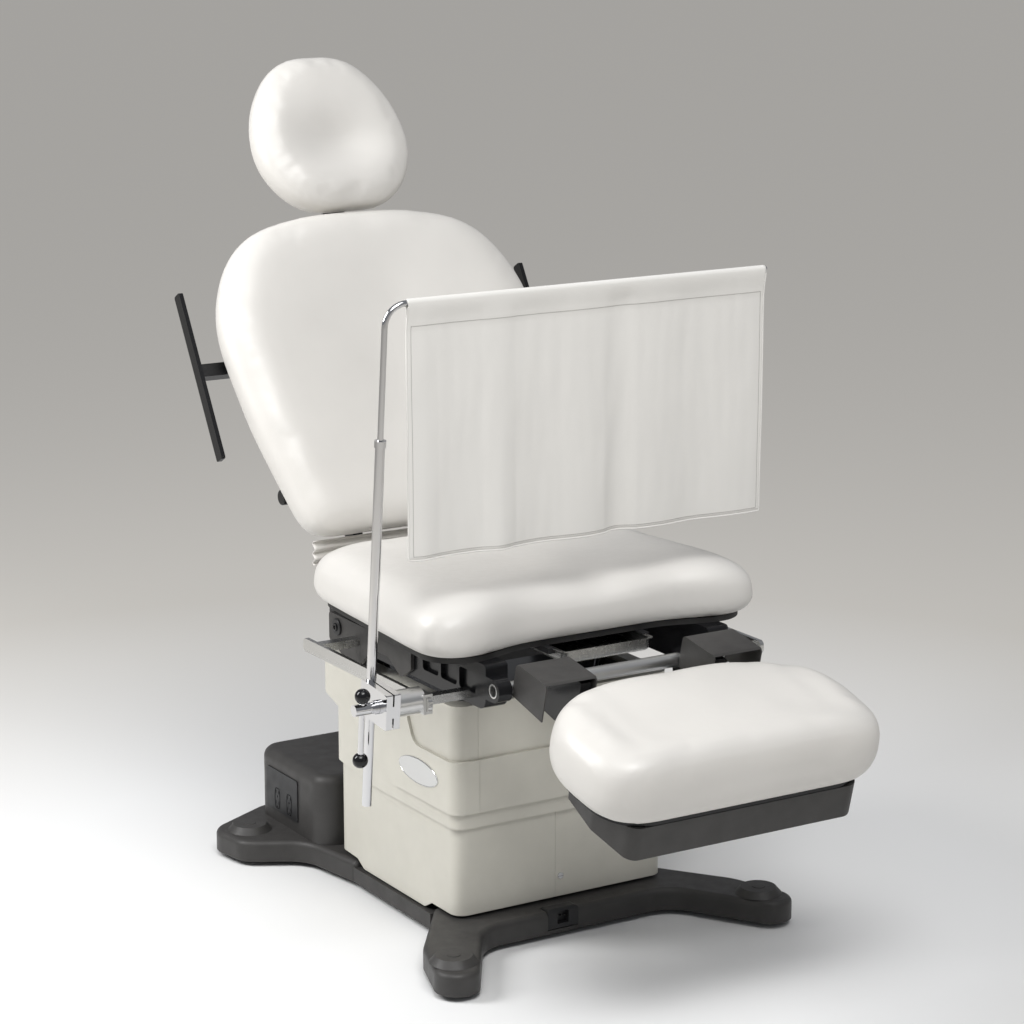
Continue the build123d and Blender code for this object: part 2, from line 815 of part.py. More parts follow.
def lower_cover(side):
    """One half of the lower cover, split at the seam; side is 1 on the left and -1 on the right."""
    with BuildPart() as cover:
        cover_tube(lower_half_width, lower_front_y, lower_rear_y, lower_drop_z, lower_top_z, cover_wall)
        cut_across(lower_cut)
        with BuildSketch(Plane.XY):
            with Locations((lower_seam_x - side * (lower_half_width - seam_gap / 2), 0)):
                Rectangle(2 * lower_half_width, 4 * lower_half_width)
        extrude(amount=upper_top_z, mode=Mode.SUBTRACT)
        with BuildSketch(Plane.XZ):
            with Locations((cover_screw_x, cover_screw_z)):
                Circle(cover_screw_radius + run_gap)
        extrude(amount=2 * lower_half_width, both=True, mode=Mode.SUBTRACT)
    return cover


lower_cover_left = lower_cover(1)
finish(lower_cover_left, "lower_cover_left")
lower_cover_right = lower_cover(-1)
finish(lower_cover_right, "lower_cover_right")

# Quarter-turn screws of the lower covers, one in front and one behind
with BuildPart() as cover_screws:
    for face_y, outward in ((lower_front_y, -1), (lower_rear_y, 1)):
        screw_plane = Plane(
            origin=(cover_screw_x, face_y, cover_screw_z), x_dir=(1, 0, 0), z_dir=(0, outward, 0)
        )
        with BuildSketch(screw_plane):
            Circle(cover_screw_head_radius)
        extrude(amount=cover_screw_head_height)
        with BuildSketch(screw_plane):
            Circle(cover_screw_radius)
        extrude(amount=-cover_screw_length)
        with BuildSketch(screw_plane.offset(cover_screw_head_height)):
            Rectangle(2 * cover_screw_head_radius, cover_screw_head_height)
        extrude(amount=-cover_screw_head_height / 2, mode=Mode.SUBTRACT)
finish(cover_screws, "cover_screws")

middle_half_width = lower_half_width + cover_gap + cover_wall
middle_front_y = lower_front_y - cover_gap - cover_wall
middle_rear_y = lower_rear_y + cover_gap + cover_wall
with BuildPart() as middle_cover:
    cover_tube(middle_half_width, middle_front_y, middle_rear_y, middle_bottom_z, middle_top_z, cover_wall)
    cut_across([
        (middle_lift_start_y, middle_bottom_z, 0),
        (middle_rear_y + overrun, middle_bottom_z + middle_rear_lift, 0),
        (middle_rear_y + overrun, middle_bottom_z - overrun, 0),
        (middle_lift_start_y, middle_bottom_z - overrun, 0),
    ])
    cut_across([
        (middle_front_y - overrun, middle_front_top_z, 0),
        (middle_slope_start_y, middle_front_top_z, upper_slope_start_radius),
        (middle_rear_y, middle_top_z, 0),
        (middle_rear_y, middle_top_z + overrun, 0),
        (middle_front_y - overrun, middle_top_z + overrun, 0),
    ])
finish(middle_cover, "middle_cover")


# Lift column: three square tubes that slide in each other
def column_tube(outer_half, bottom_z, top_z):
    """One square stage of the column."""
    with BuildSketch(Plane.XY.offset(bottom_z)) as section:
        RectangleRounded(2 * outer_half, 2 * outer_half, column_corner_radius)
        RectangleRounded(
            2 * (outer_half - column_wall), 2 * (outer_half - column_wall),
            column_corner_radius - column_wall, mode=Mode.SUBTRACT,
        )
    extrude(section.sketch, amount=top_z - bottom_z)


def cover_arms(outer_half, z, half_width, front_y, rear_y, cross_y):
    """Flat arms that carry a cover from its column stage, with the column left open."""
    with BuildSketch(Plane.XY.offset(z)) as arms:
        with Locations((0, cross_y)):
            Rectangle(2 * half_width, arm_width)
        with Locations((0, (front_y + rear_y) / 2)):
            Rectangle(arm_width, rear_y - front_y)
        Rectangle(2 * outer_half, 2 * outer_half, mode=Mode.SUBTRACT)
    extrude(arms.sketch, amount=arm_thickness)


column_middle_half = column_outer_half - column_wall - slide_gap
column_upper_half = column_middle_half - column_wall - slide_gap
with BuildPart() as column_lower:
    column_tube(column_outer_half, plate_top_z, column_lower_top_z)
    with BuildSketch(Plane.XY.offset(plate_top_z)):
        RectangleRounded(2 * column_flange_half, 2 * column_flange_half, column_corner_radius)
        Rectangle(2 * (column_outer_half - column_wall), 2 * (column_outer_half - column_wall),
                  mode=Mode.SUBTRACT)
    extrude(amount=column_flange_thickness)
    cover_arms(
        column_outer_half - column_wall, lower_arm_z, lower_half_width - cover_wall - rest_gap,
        lower_front_y + cover_wall + rest_gap, lower_rear_y - cover_wall - rest_gap, arm_cross_y,
    )
finish(column_lower, "column_lower")

with BuildPart() as column_middle:
    column_tube(column_middle_half, column_middle_bottom_z, column_middle_top_z)
    cover_arms(
        column_middle_half - column_wall, column_middle_top_z - arm_thickness,
        middle_half_width - cover_wall - rest_gap, -column_middle_half,
        middle_rear_y - cover_wall - rest_gap, arm_rear_cross_y,
    )
finish(column_middle, "column_middle")

carriage_bottom_z = carriage_top_z - carriage_thickness
with BuildPart() as column_upper:
    column_tube(column_upper_half, column_upper_bottom_z, carriage_bottom_z)
finish(column_upper, "column_upper")

# Carriage plate with its cover blocks, the ears of the seat pivot and the tilt actuator's bracket
upper_half_width = middle_half_width + cover_gap + cover_wall
upper_front_y = middle_front_y - cover_gap - cover_wall
upper_rim_z = upper_top_z - cover_wall
carriage_half_width = upper_half_width - recess_side_depth - cover_wall - carriage_side_gap
ear_x = carriage_half_width - ear_inset
tilt_bracket_spread = actuator_body_radius + slide_gap + actuator_plate_thickness / 2
with BuildPart() as carriage_plate:
    with BuildSketch(Plane.XY.offset(carriage_bottom_z)):
        with Locations((0, (carriage_front_y + carriage_rear_y) / 2)):
            RectangleRounded(2 * carriage_half_width, carriage_rear_y - carriage_front_y, carriage_corner_radius)
        with Locations((tilt_actuator_x, (carriage_notch_rear_y + carriage_notch_front_y) / 2)):
            Rectangle(
                2 * carriage_notch_half, carriage_notch_rear_y - carriage_notch_front_y, mode=Mode.SUBTRACT
            )
    extrude(amount=carriage_thickness)
    with BuildSketch(Plane.XY.offset(carriage_top_z)):
        for block_y in (carriage_block_front_y, carriage_block_rear_y):
            with Locations(
                (carriage_half_width - carriage_block_width / 2, block_y),
                (carriage_block_width / 2 - carriage_half_width, block_y),
            ):
                Rectangle(carriage_block_width, carriage_block_length)
        with Locations((-tilt_bracket_spread, carriage_front_y + carriage_block_width / 2)):
            Rectangle(carriage_front_block_width, carriage_block_width)
    extrude(amount=upper_rim_z - carriage_top_z)
    for side in (-1, 1):
        with BuildSketch(side_plane(side * (ear_x + ear_thickness / 2))):
            with BuildLine():
                Polyline(
                    (ear_foot_front_y, carriage_top_z),
                    (ear_foot_front_y, carriage_top_z + ear_foot_height),
                    (seat_pivot_y - ear_radius, seat_pivot_z),
                    (seat_pivot_y + ear_radius, seat_pivot_z),
                    (ear_foot_rear_y, carriage_top_z + ear_foot_height),
                    (ear_foot_rear_y, carriage_top_z),
                    close=True,
                )
            make_face()
            with Locations((seat_pivot_y, seat_pivot_z)):
                Circle(ear_radius)
                Circle(pivot_pin_radius + run_gap, mode=Mode.SUBTRACT)
        extrude(amount=ear_thickness / 2, both=True)
    for side in (-1, 1):
        with BuildSketch(side_plane(tilt_actuator_x + side * (carriage_notch_half + actuator_plate_thickness / 2))):
            with BuildLine():
                Polyline(
                    (tilt_low_y - 2 * actuator_plate_radius, carriage_bottom_z),
                    (tilt_low_y - actuator_plate_radius, tilt_low_z),
                    (tilt_low_y + actuator_plate_radius, tilt_low_z),
                    (tilt_low_y + 2 * actuator_plate_radius, carriage_bottom_z),
                    close=True,
                )
            make_face()
            with Locations((tilt_low_y, tilt_low_z)):
                Circle(actuator_plate_radius)
        extrude(amount=actuator_plate_thickness / 2, both=True)
    with BuildSketch(side_plane(tilt_actuator_x)):
        with Locations((tilt_low_y, tilt_low_z)):
            Circle(actuator_pin_radius)
    extrude(amount=carriage_notch_half, both=True)
finish(carriage_plate, "carriage_plate")

# Upper cover: a block with a drawn-in top front, hollowed by the same shapes one wall smaller
upper_cut = [
    (upper_front_y - 2 * overrun, upper_bottom_z - 2 * overrun, 0),
    (upper_front_y - 2 * overrun, upper_bottom_z, 0),
    (upper_slope_start_y, upper_bottom_z, upper_slope_start_radius),
    (upper_slope_middle_y, upper_slope_middle_z, upper_slope_radius),
    (upper_rear_y + overrun, upper_rear_bottom_z, 0),
    (upper_rear_y + overrun, upper_bottom_z - 2 * overrun, 0),
]


def recess_corners(wall):
    """Side outline of the drawn-in region; a wall grows it down and to the rear."""
    return [
        (upper_front_y - overrun, recess_bottom_z - wall, 0),
        (recess_turn_y + wall, recess_bottom_z - wall, recess_radius),
        (recess_rear_y + wall, upper_top_z + overrun, 0),
        (upper_front_y - overrun, upper_top_z + overrun, 0),
    ]


def upper_block(wall):
    """The solid form of the upper cover, drawn in by a wall."""
    with BuildPart() as block:
        cover_tube(upper_half_width - wall, upper_front_y + wall, upper_rear_y - wall,
                   upper_bottom_z - overrun, upper_top_z - wall, 0)
        cut_across(recess_corners(wall))
        cover_tube(upper_half_width - recess_side_depth - wall, upper_front_y + recess_front_depth + wall,
                   upper_rear_y - wall, upper_bottom_z - overrun, upper_top_z - wall, 0)
    return block


upper_outer = upper_block(0)
upper_inner = upper_block(cover_wall)
with BuildPart() as upper_shell:
    add(upper_outer.part)
    add(upper_inner.part, mode=Mode.SUBTRACT)
    with BuildSketch(Plane.XY.offset(upper_rim_z - overrun)):
        with Locations((0, (upper_front_y + recess_front_depth + upper_rear_y) / 2)):
            RectangleRounded(
                2 * (upper_half_width - recess_side_depth - upper_rim_width + overrun),
                upper_rear_y - upper_front_y - recess_front_depth - 2 * upper_rim_width + 2 * overrun,
                lower_corner_radius,
            )
    extrude(amount=cover_wall + 2 * overrun, mode=Mode.SUBTRACT)
    cut_across(upper_cut)

panel_rear_y = upper_front_y + recess_front_depth + cover_wall + upper_rim_width + overrun


def cover_share(half_width, front_y, rear_y, centre_x, mode):
    """Keep or remove the part of the shell that stands over a rectangle of the plan."""
    with BuildSketch(Plane.XY.offset(upper_bottom_z - 2 * overrun)) as plan:
        with Locations((centre_x, (front_y + rear_y) / 2)):
            Rectangle(2 * half_width, rear_y - front_y)
    extrude(plan.sketch, amount=upper_top_z, mode=mode)


with BuildPart() as upper_front_cover:
    add(upper_shell.part)
    cover_share(front_panel_half_width - seam_gap, upper_front_y - overrun, panel_rear_y - seam_gap, 0,
                Mode.INTERSECT)
finish(upper_front_cover, "upper_front_cover")


def upper_side_cover(side):
    """One side of the upper cover; side is 1 on the left and -1 on the right."""
    with BuildPart() as cover:
        add(upper_shell.part)
        cover_share(front_panel_half_width, upper_front_y - overrun, panel_rear_y, 0, Mode.SUBTRACT)
        cover_share(upper_half_width, upper_front_y - overrun, upper_rear_y + overrun,
                    -side * (upper_half_width - seam_gap / 2), Mode.SUBTRACT)
    return cover


upper_cover_left = upper_side_cover(1)
finish(upper_cover_left, "upper_cover_left")
upper_cover_right = upper_side_cover(-1)
finish(upper_cover_right, "upper_cover_right")

# Bare oval plate on the side of the upper cover
with BuildPart() as badge_plate:
    with BuildSketch(Plane(origin=(-upper_half_width, badge_y, badge_z), x_dir=(0, -1, 0), z_dir=(-1, 0, 0))):
        Ellipse(badge_length / 2, badge_height / 2)
    extrude(amount=badge_thickness)
    fillet(badge_plate.edges().group_by(Axis.X)[0], badge_edge_radius)
finish(badge_plate, "badge_plate")

# Seat frame: two side beams, cross beams, lugs of the foot hinge and ears of the back hinge
beam_width = beam_outer_x - beam_inner_x
beam_side = [
    (beam_front_y, beam_top_z, beam_edge_radius),
    (beam_front_y, beam_bottom_z, beam_nose_radius),
    (seat_pivot_y, beam_bottom_z, beam_nose_radius),
    (beam_rear_y, beam_bottom_z + beam_rear_rise, beam_edge_radius),
    (beam_rear_y, beam_top_z, beam_edge_radius),
]
pocket_middle_y = (beam_pocket_front_y + beam_pocket_rear_y) / 2
pocket_pitch = (beam_pocket_rear_y - beam_pocket_front_y + beam_rib_width) / 3
hinge_ear_x = back_arm_x + back_arm_width / 2 + rest_gap + hinge_ear_thickness / 2
lever_foot_y = back_pivot_y + lever_pin_drop * math.tan(math.radians(lever_rest_angle))
back_actuator_z = back_pivot_z - lever_pin_drop
with BuildPart() as seat_frame:
    for side in (-1, 1):
        with BuildSketch(side_plane(side * (beam_inner_x + beam_width / 2))):
            rounded_face(beam_side)
        extrude(amount=beam_width / 2, both=True)
        with BuildSketch(side_plane(side * (foot_lug_inner_x + beam_outer_x) / 2)):
            with Locations((foot_hinge_y, foot_hinge_z)):
                Circle(foot_lug_radius)
            with Locations(((foot_hinge_y + beam_front_y + overrun) / 2, foot_hinge_z)):
                Rectangle(beam_front_y + overrun - foot_hinge_y, 2 * foot_lug_radius)
        extrude(amount=(beam_outer_x - foot_lug_inner_x) / 2, both=True)
    with BuildSketch(side_plane(0)):
        with Locations((foot_hinge_y, foot_hinge_z)):
            Circle(foot_tube_radius + run_gap)
    extrude(amount=beam_outer_x + overrun, both=True, mode=Mode.SUBTRACT)
    for side in (-1, 1):
        with BuildSketch(Plane(origin=(side * beam_outer_x, 0, 0), x_dir=(0, 1, 0), z_dir=(side, 0, 0))):
            with Locations((pocket_middle_y, side * (beam_bottom_z + beam_top_z) / 2)):
                with GridLocations(pocket_pitch, 0, 3, 1):
                    RectangleRounded(pocket_pitch - beam_rib_width, beam_pocket_height, beam_edge_radius)
        extrude(amount=-beam_pocket_depth, mode=Mode.SUBTRACT)
    with BuildSketch(side_plane(0)):
        with Locations((front_cross_y, (front_cross_bottom_z + front_cross_top_z) / 2)):
            Rectangle(cross_depth, front_cross_top_z - front_cross_bottom_z)
        with Locations((rear_cross_y, (rear_cross_bottom_z + beam_top_z) / 2)):
            Rectangle(cross_depth, beam_top_z - rear_cross_bottom_z)
    extrude(amount=beam_inner_x, both=True)
    for side in (-1, 1):
        with BuildSketch(side_plane(side * hinge_ear_x)):
            with BuildLine():
                Polyline(
                    (rear_cross_y, hinge_ear_low_z),
                    (hinge_ear_step_y, hinge_ear_low_z),
                    (back_pivot_y + back_eye_radius, back_pivot_z),
                    (back_pivot_y - back_eye_radius, back_pivot_z),
                    (hinge_ear_step_y, beam_top_z),
                    (rear_cross_y, beam_top_z),
                    close=True,
                )
            make_face()
            with Locations((back_pivot_y, back_pivot_z)):
                Circle(back_eye_radius)
        extrude(amount=hinge_ear_thickness / 2, both=True)
    with BuildSketch(side_plane(tilt_actuator_x + actuator_rod_radius + slide_gap)):
        with BuildLine():
            Polyline(
                (front_cross_y, front_cross_bottom_z),
                (tilt_high_y, tilt_high_z - actuator_plate_radius),
                (tilt_high_y, tilt_high_z + actuator_plate_radius),
                (front_cross_y, front_cross_top_z),
                close=True,
            )
        make_face()
        with Locations((tilt_high_y, tilt_high_z)):
            Circle(actuator_plate_radius)
    extrude(amount=actuator_plate_thickness)
    with BuildSketch(side_plane(tilt_actuator_x - actuator_eye_width / 2)):
        with Locations((tilt_high_y, tilt_high_z)):
            Circle(actuator_pin_radius)
    extrude(amount=actuator_eye_width / 2 + actuator_rod_radius + slide_gap)
    with BuildSketch(side_plane(lever_x)):
        with Locations((back_body_front_y + actuator_plate_thickness / 2,
                        (back_actuator_z + front_cross_bottom_z) / 2)):
            Rectangle(actuator_plate_thickness, front_cross_bottom_z - back_actuator_z + 2 * actuator_body_radius)
    extrude(amount=actuator_body_radius, both=True)
finish(seat_frame, "seat_frame")

# Pins: the seat turns on one pair and the back on the other
with BuildPart() as hinge_pins:
    for side in (-1, 1):
        with BuildSketch(side_plane(side * ear_x)):
            with Locations((seat_pivot_y, seat_pivot_z)):
                Circle(pivot_pin_radius)
        extrude(amount=side * (beam_inner_x - ear_x))
    for side in (-1, 1):
        with BuildSketch(side_plane(side * (back_arm_x - back_arm_width / 2))):
            with Locations((back_pivot_y, back_pivot_z)):
                Circle(back_pin_radius)
        extrude(amount=side * (back_arm_width + rest_gap))
finish(hinge_pins, "hinge_pins")

# Side plates with their curved lower edge, and the caps over the seat pivot
side_plate_length = side_plate_rear_y - side_plate_front_y
side_plate_height = side_plate_top_z - side_plate_lobe_z
side_plate_corners = [
    (
        side_plate_front_y + side_plate_length * a,
        side_plate_lobe_z + side_plate_height * b,
        side_plate_corner_radius * r,
    )
    for a, b, r in side_plate_shares
]
with BuildPart() as side_plates:
    for side in (-1, 1):
        with BuildSketch(side_plane(side * beam_outer_x)):
            rounded_face(side_plate_corners)
        extrude(amount=side * side_plate_thickness)
finish(side_plates, "side_plates")

with BuildPart() as pivot_caps:
    for side in (-1, 1):
        with BuildSketch(side_plane(side * (beam_outer_x + side_plate_thickness))):
            with Locations((seat_pivot_y, seat_pivot_z - pivot_cap_radius / 2)):
                Circle(pivot_cap_radius)
        extrude(amount=side * pivot_cap_height)
    fillet(pivot_caps.edges().group_by(Axis.X)[0], pivot_cap_height / 2)
    fillet(pivot_caps.edges().group_by(Axis.X)[-1], pivot_cap_height / 2)
finish(pivot_caps, "pivot_caps")

# Accessory rails of the seat on their standoffs
seat_rail_rear_y = seat_rail_front_y + seat_rail_length
with BuildPart() as seat_rails:
    for side in (-1, 1):
        with BuildSketch(side_plane(side * seat_rail_x)):
            with Locations(((seat_rail_front_y + seat_rail_rear_y) / 2, seat_rail_z)):
                RectangleRounded(seat_rail_length, rail_width, rail_end_radius)
        extrude(amount=rail_thickness / 2, both=True)
finish(seat_rails, "seat_rails")

with BuildPart() as rail_standoffs:
    for side in (-1, 1):
        with BuildSketch(side_plane(side * beam_outer_x)):
            with Locations(
                (seat_rail_front_y + standoff_inset, seat_rail_z),
                (seat_rail_rear_y - standoff_inset, seat_rail_z),
            ):
                Rectangle(standoff_width, standoff_height)
        extrude(amount=side * (seat_rail_x - rail_thickness / 2 - beam_outer_x))
    with BuildSketch(Plane.XY.offset(seat_rail_z - standoff_height)):
        for side in (-1, 1):
            with Locations((side * (beam_outer_x + side_plate_thickness / 2), seat_rail_rear_y - standoff_inset)):
                Rectangle(side_plate_thickness + 2 * rest_gap, 2 * standoff_width)
    extrude(amount=2 * standoff_height, mode=Mode.SUBTRACT)
finish(rail_standoffs, "rail_standoffs")

# Seat cushion: two lobes in front with a dip between them, on its board
seat_outline = mirrored_outline([
    (seat_dip_x, seat_dip_y, seat_dip_radius),
    (seat_lobe_x, seat_front_y, seat_lobe_radius),
    (seat_half_width, seat_front_y, seat_front_radius),
    (seat_rear_half_width, seat_rear_y, seat_rear_radius),
])
seat_middle = (0.0, (seat_front_y + seat_rear_y) / 2)
seat_board_z = beam_top_z + rest_gap
seat_cushion_z = seat_board_z + seat_board_thickness
with BuildPart() as seat_board:
    with BuildSketch(Plane.XY.offset(seat_board_z)):
        rounded_face(seat_outline, seat_board_share, seat_middle)
    extrude(amount=seat_board_thickness)
finish(seat_board, "seat_board")
seat_cushion = soft_pad(
    Plane.XY.offset(seat_cushion_z), seat_outline, seat_middle, seat_cushion_height, seat_level_shares
)
finish(seat_cushion, "seat_cushion")

# Back: cushion, board, arms with the torque tube and lever, and the fabric flap
back_outline = softened(mirrored_outline([
    (back_bottom_half_width, back_bottom_s, back_bottom_radius),
    (back_waist_half_width, back_waist_s, back_waist_radius),
    (back_half_width, back_widest_s, 0),
    (back_shoulder_half_width, back_shoulder_s, 0),
    (back_crown_half_width, back_top_s, 0),
]))
back_centre = (0.0, (back_bottom_s + back_top_s) / 2)
back_rear = back_middle.offset(-back_thickness / 2)
back_cushion = soft_pad(back_rear, back_outline, back_centre, back_thickness, back_level_shares)
finish(back_cushion, "back_cushion")
with BuildPart() as back_board:
    with BuildSketch(back_rear):
        rounded_face(back_outline, back_board_share, back_centre)
    extrude(amount=-back_board_thickness)
finish(back_board, "back_board")

board_rear_depth = -back_thickness / 2 - back_board_thickness
pivot_place = back_side(0).to_local_coords(Vector(0, back_pivot_y, back_pivot_z))
pivot_depth = pivot_place.X
pivot_s = pivot_place.Y
shaft_depth = board_rear_depth - cross_shaft_radius - cover_gap
arm_side = [
    (board_rear_depth, back_arm_top_s, 0),
    (board_rear_depth - back_arm_top_depth, back_arm_top_s, beam_edge_radius),
    (board_rear_depth - back_arm_depth, cross_shaft_s, 0),
    (board_rear_depth - back_arm_depth, back_arm_low_s, back_arm_depth),
    (pivot_depth - back_eye_radius, pivot_s, 0),
    (pivot_depth + back_eye_radius, pivot_s, 0),
    (board_rear_depth, back_arm_low_s, back_arm_width),
]
lever_middle_s = (lever_length - back_eye_radius) / 2
lever_pin_reach = lever_pin_drop / math.cos(math.radians(lever_rest_angle))
with BuildPart() as back_arms:
    for side in (-1, 1):
        with BuildSketch(back_side(side * back_arm_x)):
            rounded_face(arm_side)
            with Locations((pivot_depth, pivot_s)):
                Circle(back_eye_radius)
            with Locations((shaft_depth, cross_shaft_s)):
                Circle(cross_shaft_lug)
            with Locations((board_rear_depth + cross_shaft_lug / 2, cross_shaft_s)):
                Rectangle(cross_shaft_lug, 3 * cross_shaft_lug, mode=Mode.SUBTRACT)
        extrude(amount=back_arm_width / 2, both=True)
    with BuildSketch(side_plane(0)):
        with Locations((back_pivot_y, back_pivot_z)):
            Circle(torque_tube_radius)
    extrude(amount=back_arm_x - back_arm_width / 2, both=True)
    lever_plane = turned_plane(lever_x, back_pivot_y, back_pivot_z, lever_rest_angle)
    with BuildSketch(lever_plane):
        with Locations((0, -lever_middle_s)):
            SlotOverall(lever_length + back_eye_radius, 2 * lever_half_width, rotation=90)
        with Locations((0, -(lever_pin_drop + lever_pin_reach) / 2)):
            SlotCenterToCenter(
                lever_pin_reach - lever_pin_drop + link_gap,
                2 * (actuator_pin_radius + link_gap),
                rotation=90,
                mode=Mode.SUBTRACT,
            )
    extrude(amount=lever_thickness / 2, both=True)
    for side in (-1, 1):
        with BuildSketch(back_side(side * back_arm_x)):
            with Locations((pivot_depth, pivot_s)):
                Circle(back_pin_radius + run_gap)
            with Locations((shaft_depth, cross_shaft_s)):
                Circle(cross_shaft_radius)
        extrude(amount=back_arm_width / 2, both=True, mode=Mode.SUBTRACT)
finish(back_arms, "back_arms")

with BuildPart() as back_cross_shaft:
    with BuildSketch(back_side(0)):
        with Locations((shaft_depth, cross_shaft_s)):
            Circle(cross_shaft_radius)
    extrude(amount=cross_shaft_half_length, both=True)
    fillet(back_cross_shaft.edges().group_by(Axis.X)[0], shaft_cap_edge)
    fillet(back_cross_shaft.edges().group_by(Axis.X)[-1], shaft_cap_edge)
finish(back_cross_shaft, "back_cross_shaft")

# Accessory rails of the back, each on one standoff behind the board
standoff_depth = board_rear_depth - cover_gap - back_standoff_size / 2
arm_outer_x = back_arm_x + back_arm_width / 2
rail_middle_s = (back_rail_low_s + back_rail_high_s) / 2
with BuildPart() as back_rails:
    for side in (-1, 1):
        with BuildSketch(back_side(side * back_rail_x)):
            with Locations((-back_rail_depth, rail_middle_s)):
                RectangleRounded(rail_width, back_rail_high_s - back_rail_low_s, rail_end_radius / 2)
        extrude(amount=rail_thickness / 2, both=True)
    for side in (-1, 1):
        with BuildSketch(back_side(side * arm_outer_x)):
            with Locations((standoff_depth, back_standoff_s)):
                Rectangle(back_standoff_size, back_standoff_size)
        extrude(amount=-side * (back_rail_x - rail_thickness / 2 - arm_outer_x))
finish(back_rails, "back_rails")


def wavy_band(half_width, centre_x, thickness, depths, front_offset):
    """A thin band along X whose two long edges bow in and out together."""
    step = 2 * half_width / len(depths)
    with BuildLine() as band:
        for edge, shift in ((0, 0), (1, thickness)):
            for place, depth in enumerate(depths):
                left = centre_x - half_width + place * step
                bow = depth if place % 2 else -depth
                y = front_offset + shift
                ThreePointArc((left, y), (left + step / 2, y + bow), (left + step, y))
        Line((centre_x - half_width, front_offset), (centre_x - half_width, front_offset + thickness))
        Line((centre_x + half_width, front_offset), (centre_x + half_width, front_offset + thickness))
    make_face(band.edges())


# Fabric flap behind the lower edge of the back, slit where the arms pass
flap_inner_x = back_arm_x - flap_slit
flap_outer_x = hinge_ear_x + flap_slit
flap_side_half = (flap_half_width - flap_outer_x) / 2
flap_side_x = (flap_half_width + flap_outer_x) / 2
flap_spans = ((-flap_side_x, flap_side_half), (0, flap_inner_x), (flap_side_x, flap_side_half))
flap_plane = Plane(origin=back_rear.origin, x_dir=(1, 0, 0), z_dir=back_side(0).y_dir)
with BuildPart() as fabric_flap:
    for centre_x, half_width in flap_spans:
        with BuildSketch(flap_plane.offset(flap_top_s)):
            wavy_band(half_width, centre_x, -flap_thickness, (flap_fold_depth / 4,) * 4, 0)
        with BuildSketch(flap_plane.offset(flap_bottom_s)):
            wavy_band(half_width, centre_x, -flap_thickness, (flap_fold_depth,) * 4, 0)
        loft(ruled=True)
finish(fabric_flap, "fabric_flap")

# Headrest: guide on the back board, sliding bar, board with its knuckle, and cushion
bar_middle_s = (head_bar_low_s + head_bar_high_s) / 2
guide_front = -board_rear_depth
guide_rear = head_bar_depth + head_bar_thickness / 2 + rest_gap + head_guide_wall
guide_side_half = head_bar_width / 2 + rest_gap + head_guide_wall
with BuildPart() as headrest_guide:
    with BuildSketch(back_middle.offset(-guide_rear)):
        with Locations((0, (head_guide_low_s + head_guide_high_s) / 2)):
            Rectangle(2 * guide_side_half, head_guide_high_s - head_guide_low_s)
    extrude(amount=guide_rear - guide_front)
    with BuildSketch(back_middle.offset(-head_bar_depth - head_bar_thickness / 2 - rest_gap)):
        with Locations((0, (head_guide_low_s + head_guide_high_s) / 2)):
            Rectangle(head_bar_width + 2 * rest_gap, 2 * (head_guide_high_s - head_guide_low_s))
    extrude(amount=head_bar_thickness + 2 * rest_gap, mode=Mode.SUBTRACT)
finish(headrest_guide, "headrest_guide")

with BuildPart() as headrest_bar:
    with BuildSketch(back_middle.offset(-head_bar_depth)):
        with Locations((0, bar_middle_s)):
            Rectangle(head_bar_width, head_bar_high_s - head_bar_low_s)
    extrude(amount=head_bar_thickness / 2, both=True)
    with BuildSketch(back_side(0)):
        with Locations((-head_bar_depth, head_pivot_s)):
            Circle(head_knuckle_radius)
        with Locations((-head_bar_depth, (head_bar_high_s + head_pivot_s) / 2)):
            Rectangle(head_bar_thickness, head_pivot_s - head_bar_high_s)
    extrude(amount=head_knuckle_width / 2, both=True)
    with BuildSketch(back_side(0)):
        with Locations((-head_bar_depth, head_pivot_s)):
            Circle(head_knuckle_radius + head_pin_radius)
    extrude(amount=head_knuckle_slot / 2 + rest_gap, both=True, mode=Mode.SUBTRACT)
    with BuildSketch(back_side(0)):
        with Locations((-head_bar_depth, head_pivot_s)):
            Circle(head_pin_radius)
    extrude(amount=head_knuckle_width / 2, both=True)
finish(headrest_bar, "headrest_bar")

head_outline = softened(mirrored_outline([
    (head_bottom_half_width, head_bottom_s, 0),
    (head_low_half_width, head_bottom_s + head_height * head_low_share, 0),
    (head_high_half_width, head_bottom_s + head_height * head_high_share, 0),
    (head_top_half_width, head_bottom_s + head_height, 0),
]))
head_centre = (0.0, head_bottom_s + head_height / 2)
head_rear = back_middle.offset(-head_thickness / 2)
head_board_rear = head_thickness / 2 + head_board_thickness
with BuildPart() as headrest_board:
    with BuildSketch(head_rear):
        rounded_face(head_outline, head_board_share, head_centre)
    extrude(amount=-head_board_thickness)
    with BuildSketch(back_side(0)):
        with Locations((-(head_board_rear + head_bar_depth) / 2, head_pivot_s)):
            Rectangle(head_bar_depth - head_board_rear, 2 * head_knuckle_radius)
        with Locations((-head_bar_depth, head_pivot_s)):
            Circle(head_knuckle_radius)
            Circle(head_pin_radius + run_gap, mode=Mode.SUBTRACT)
    extrude(amount=head_knuckle_slot / 2, both=True)
finish(headrest_board, "headrest_board")

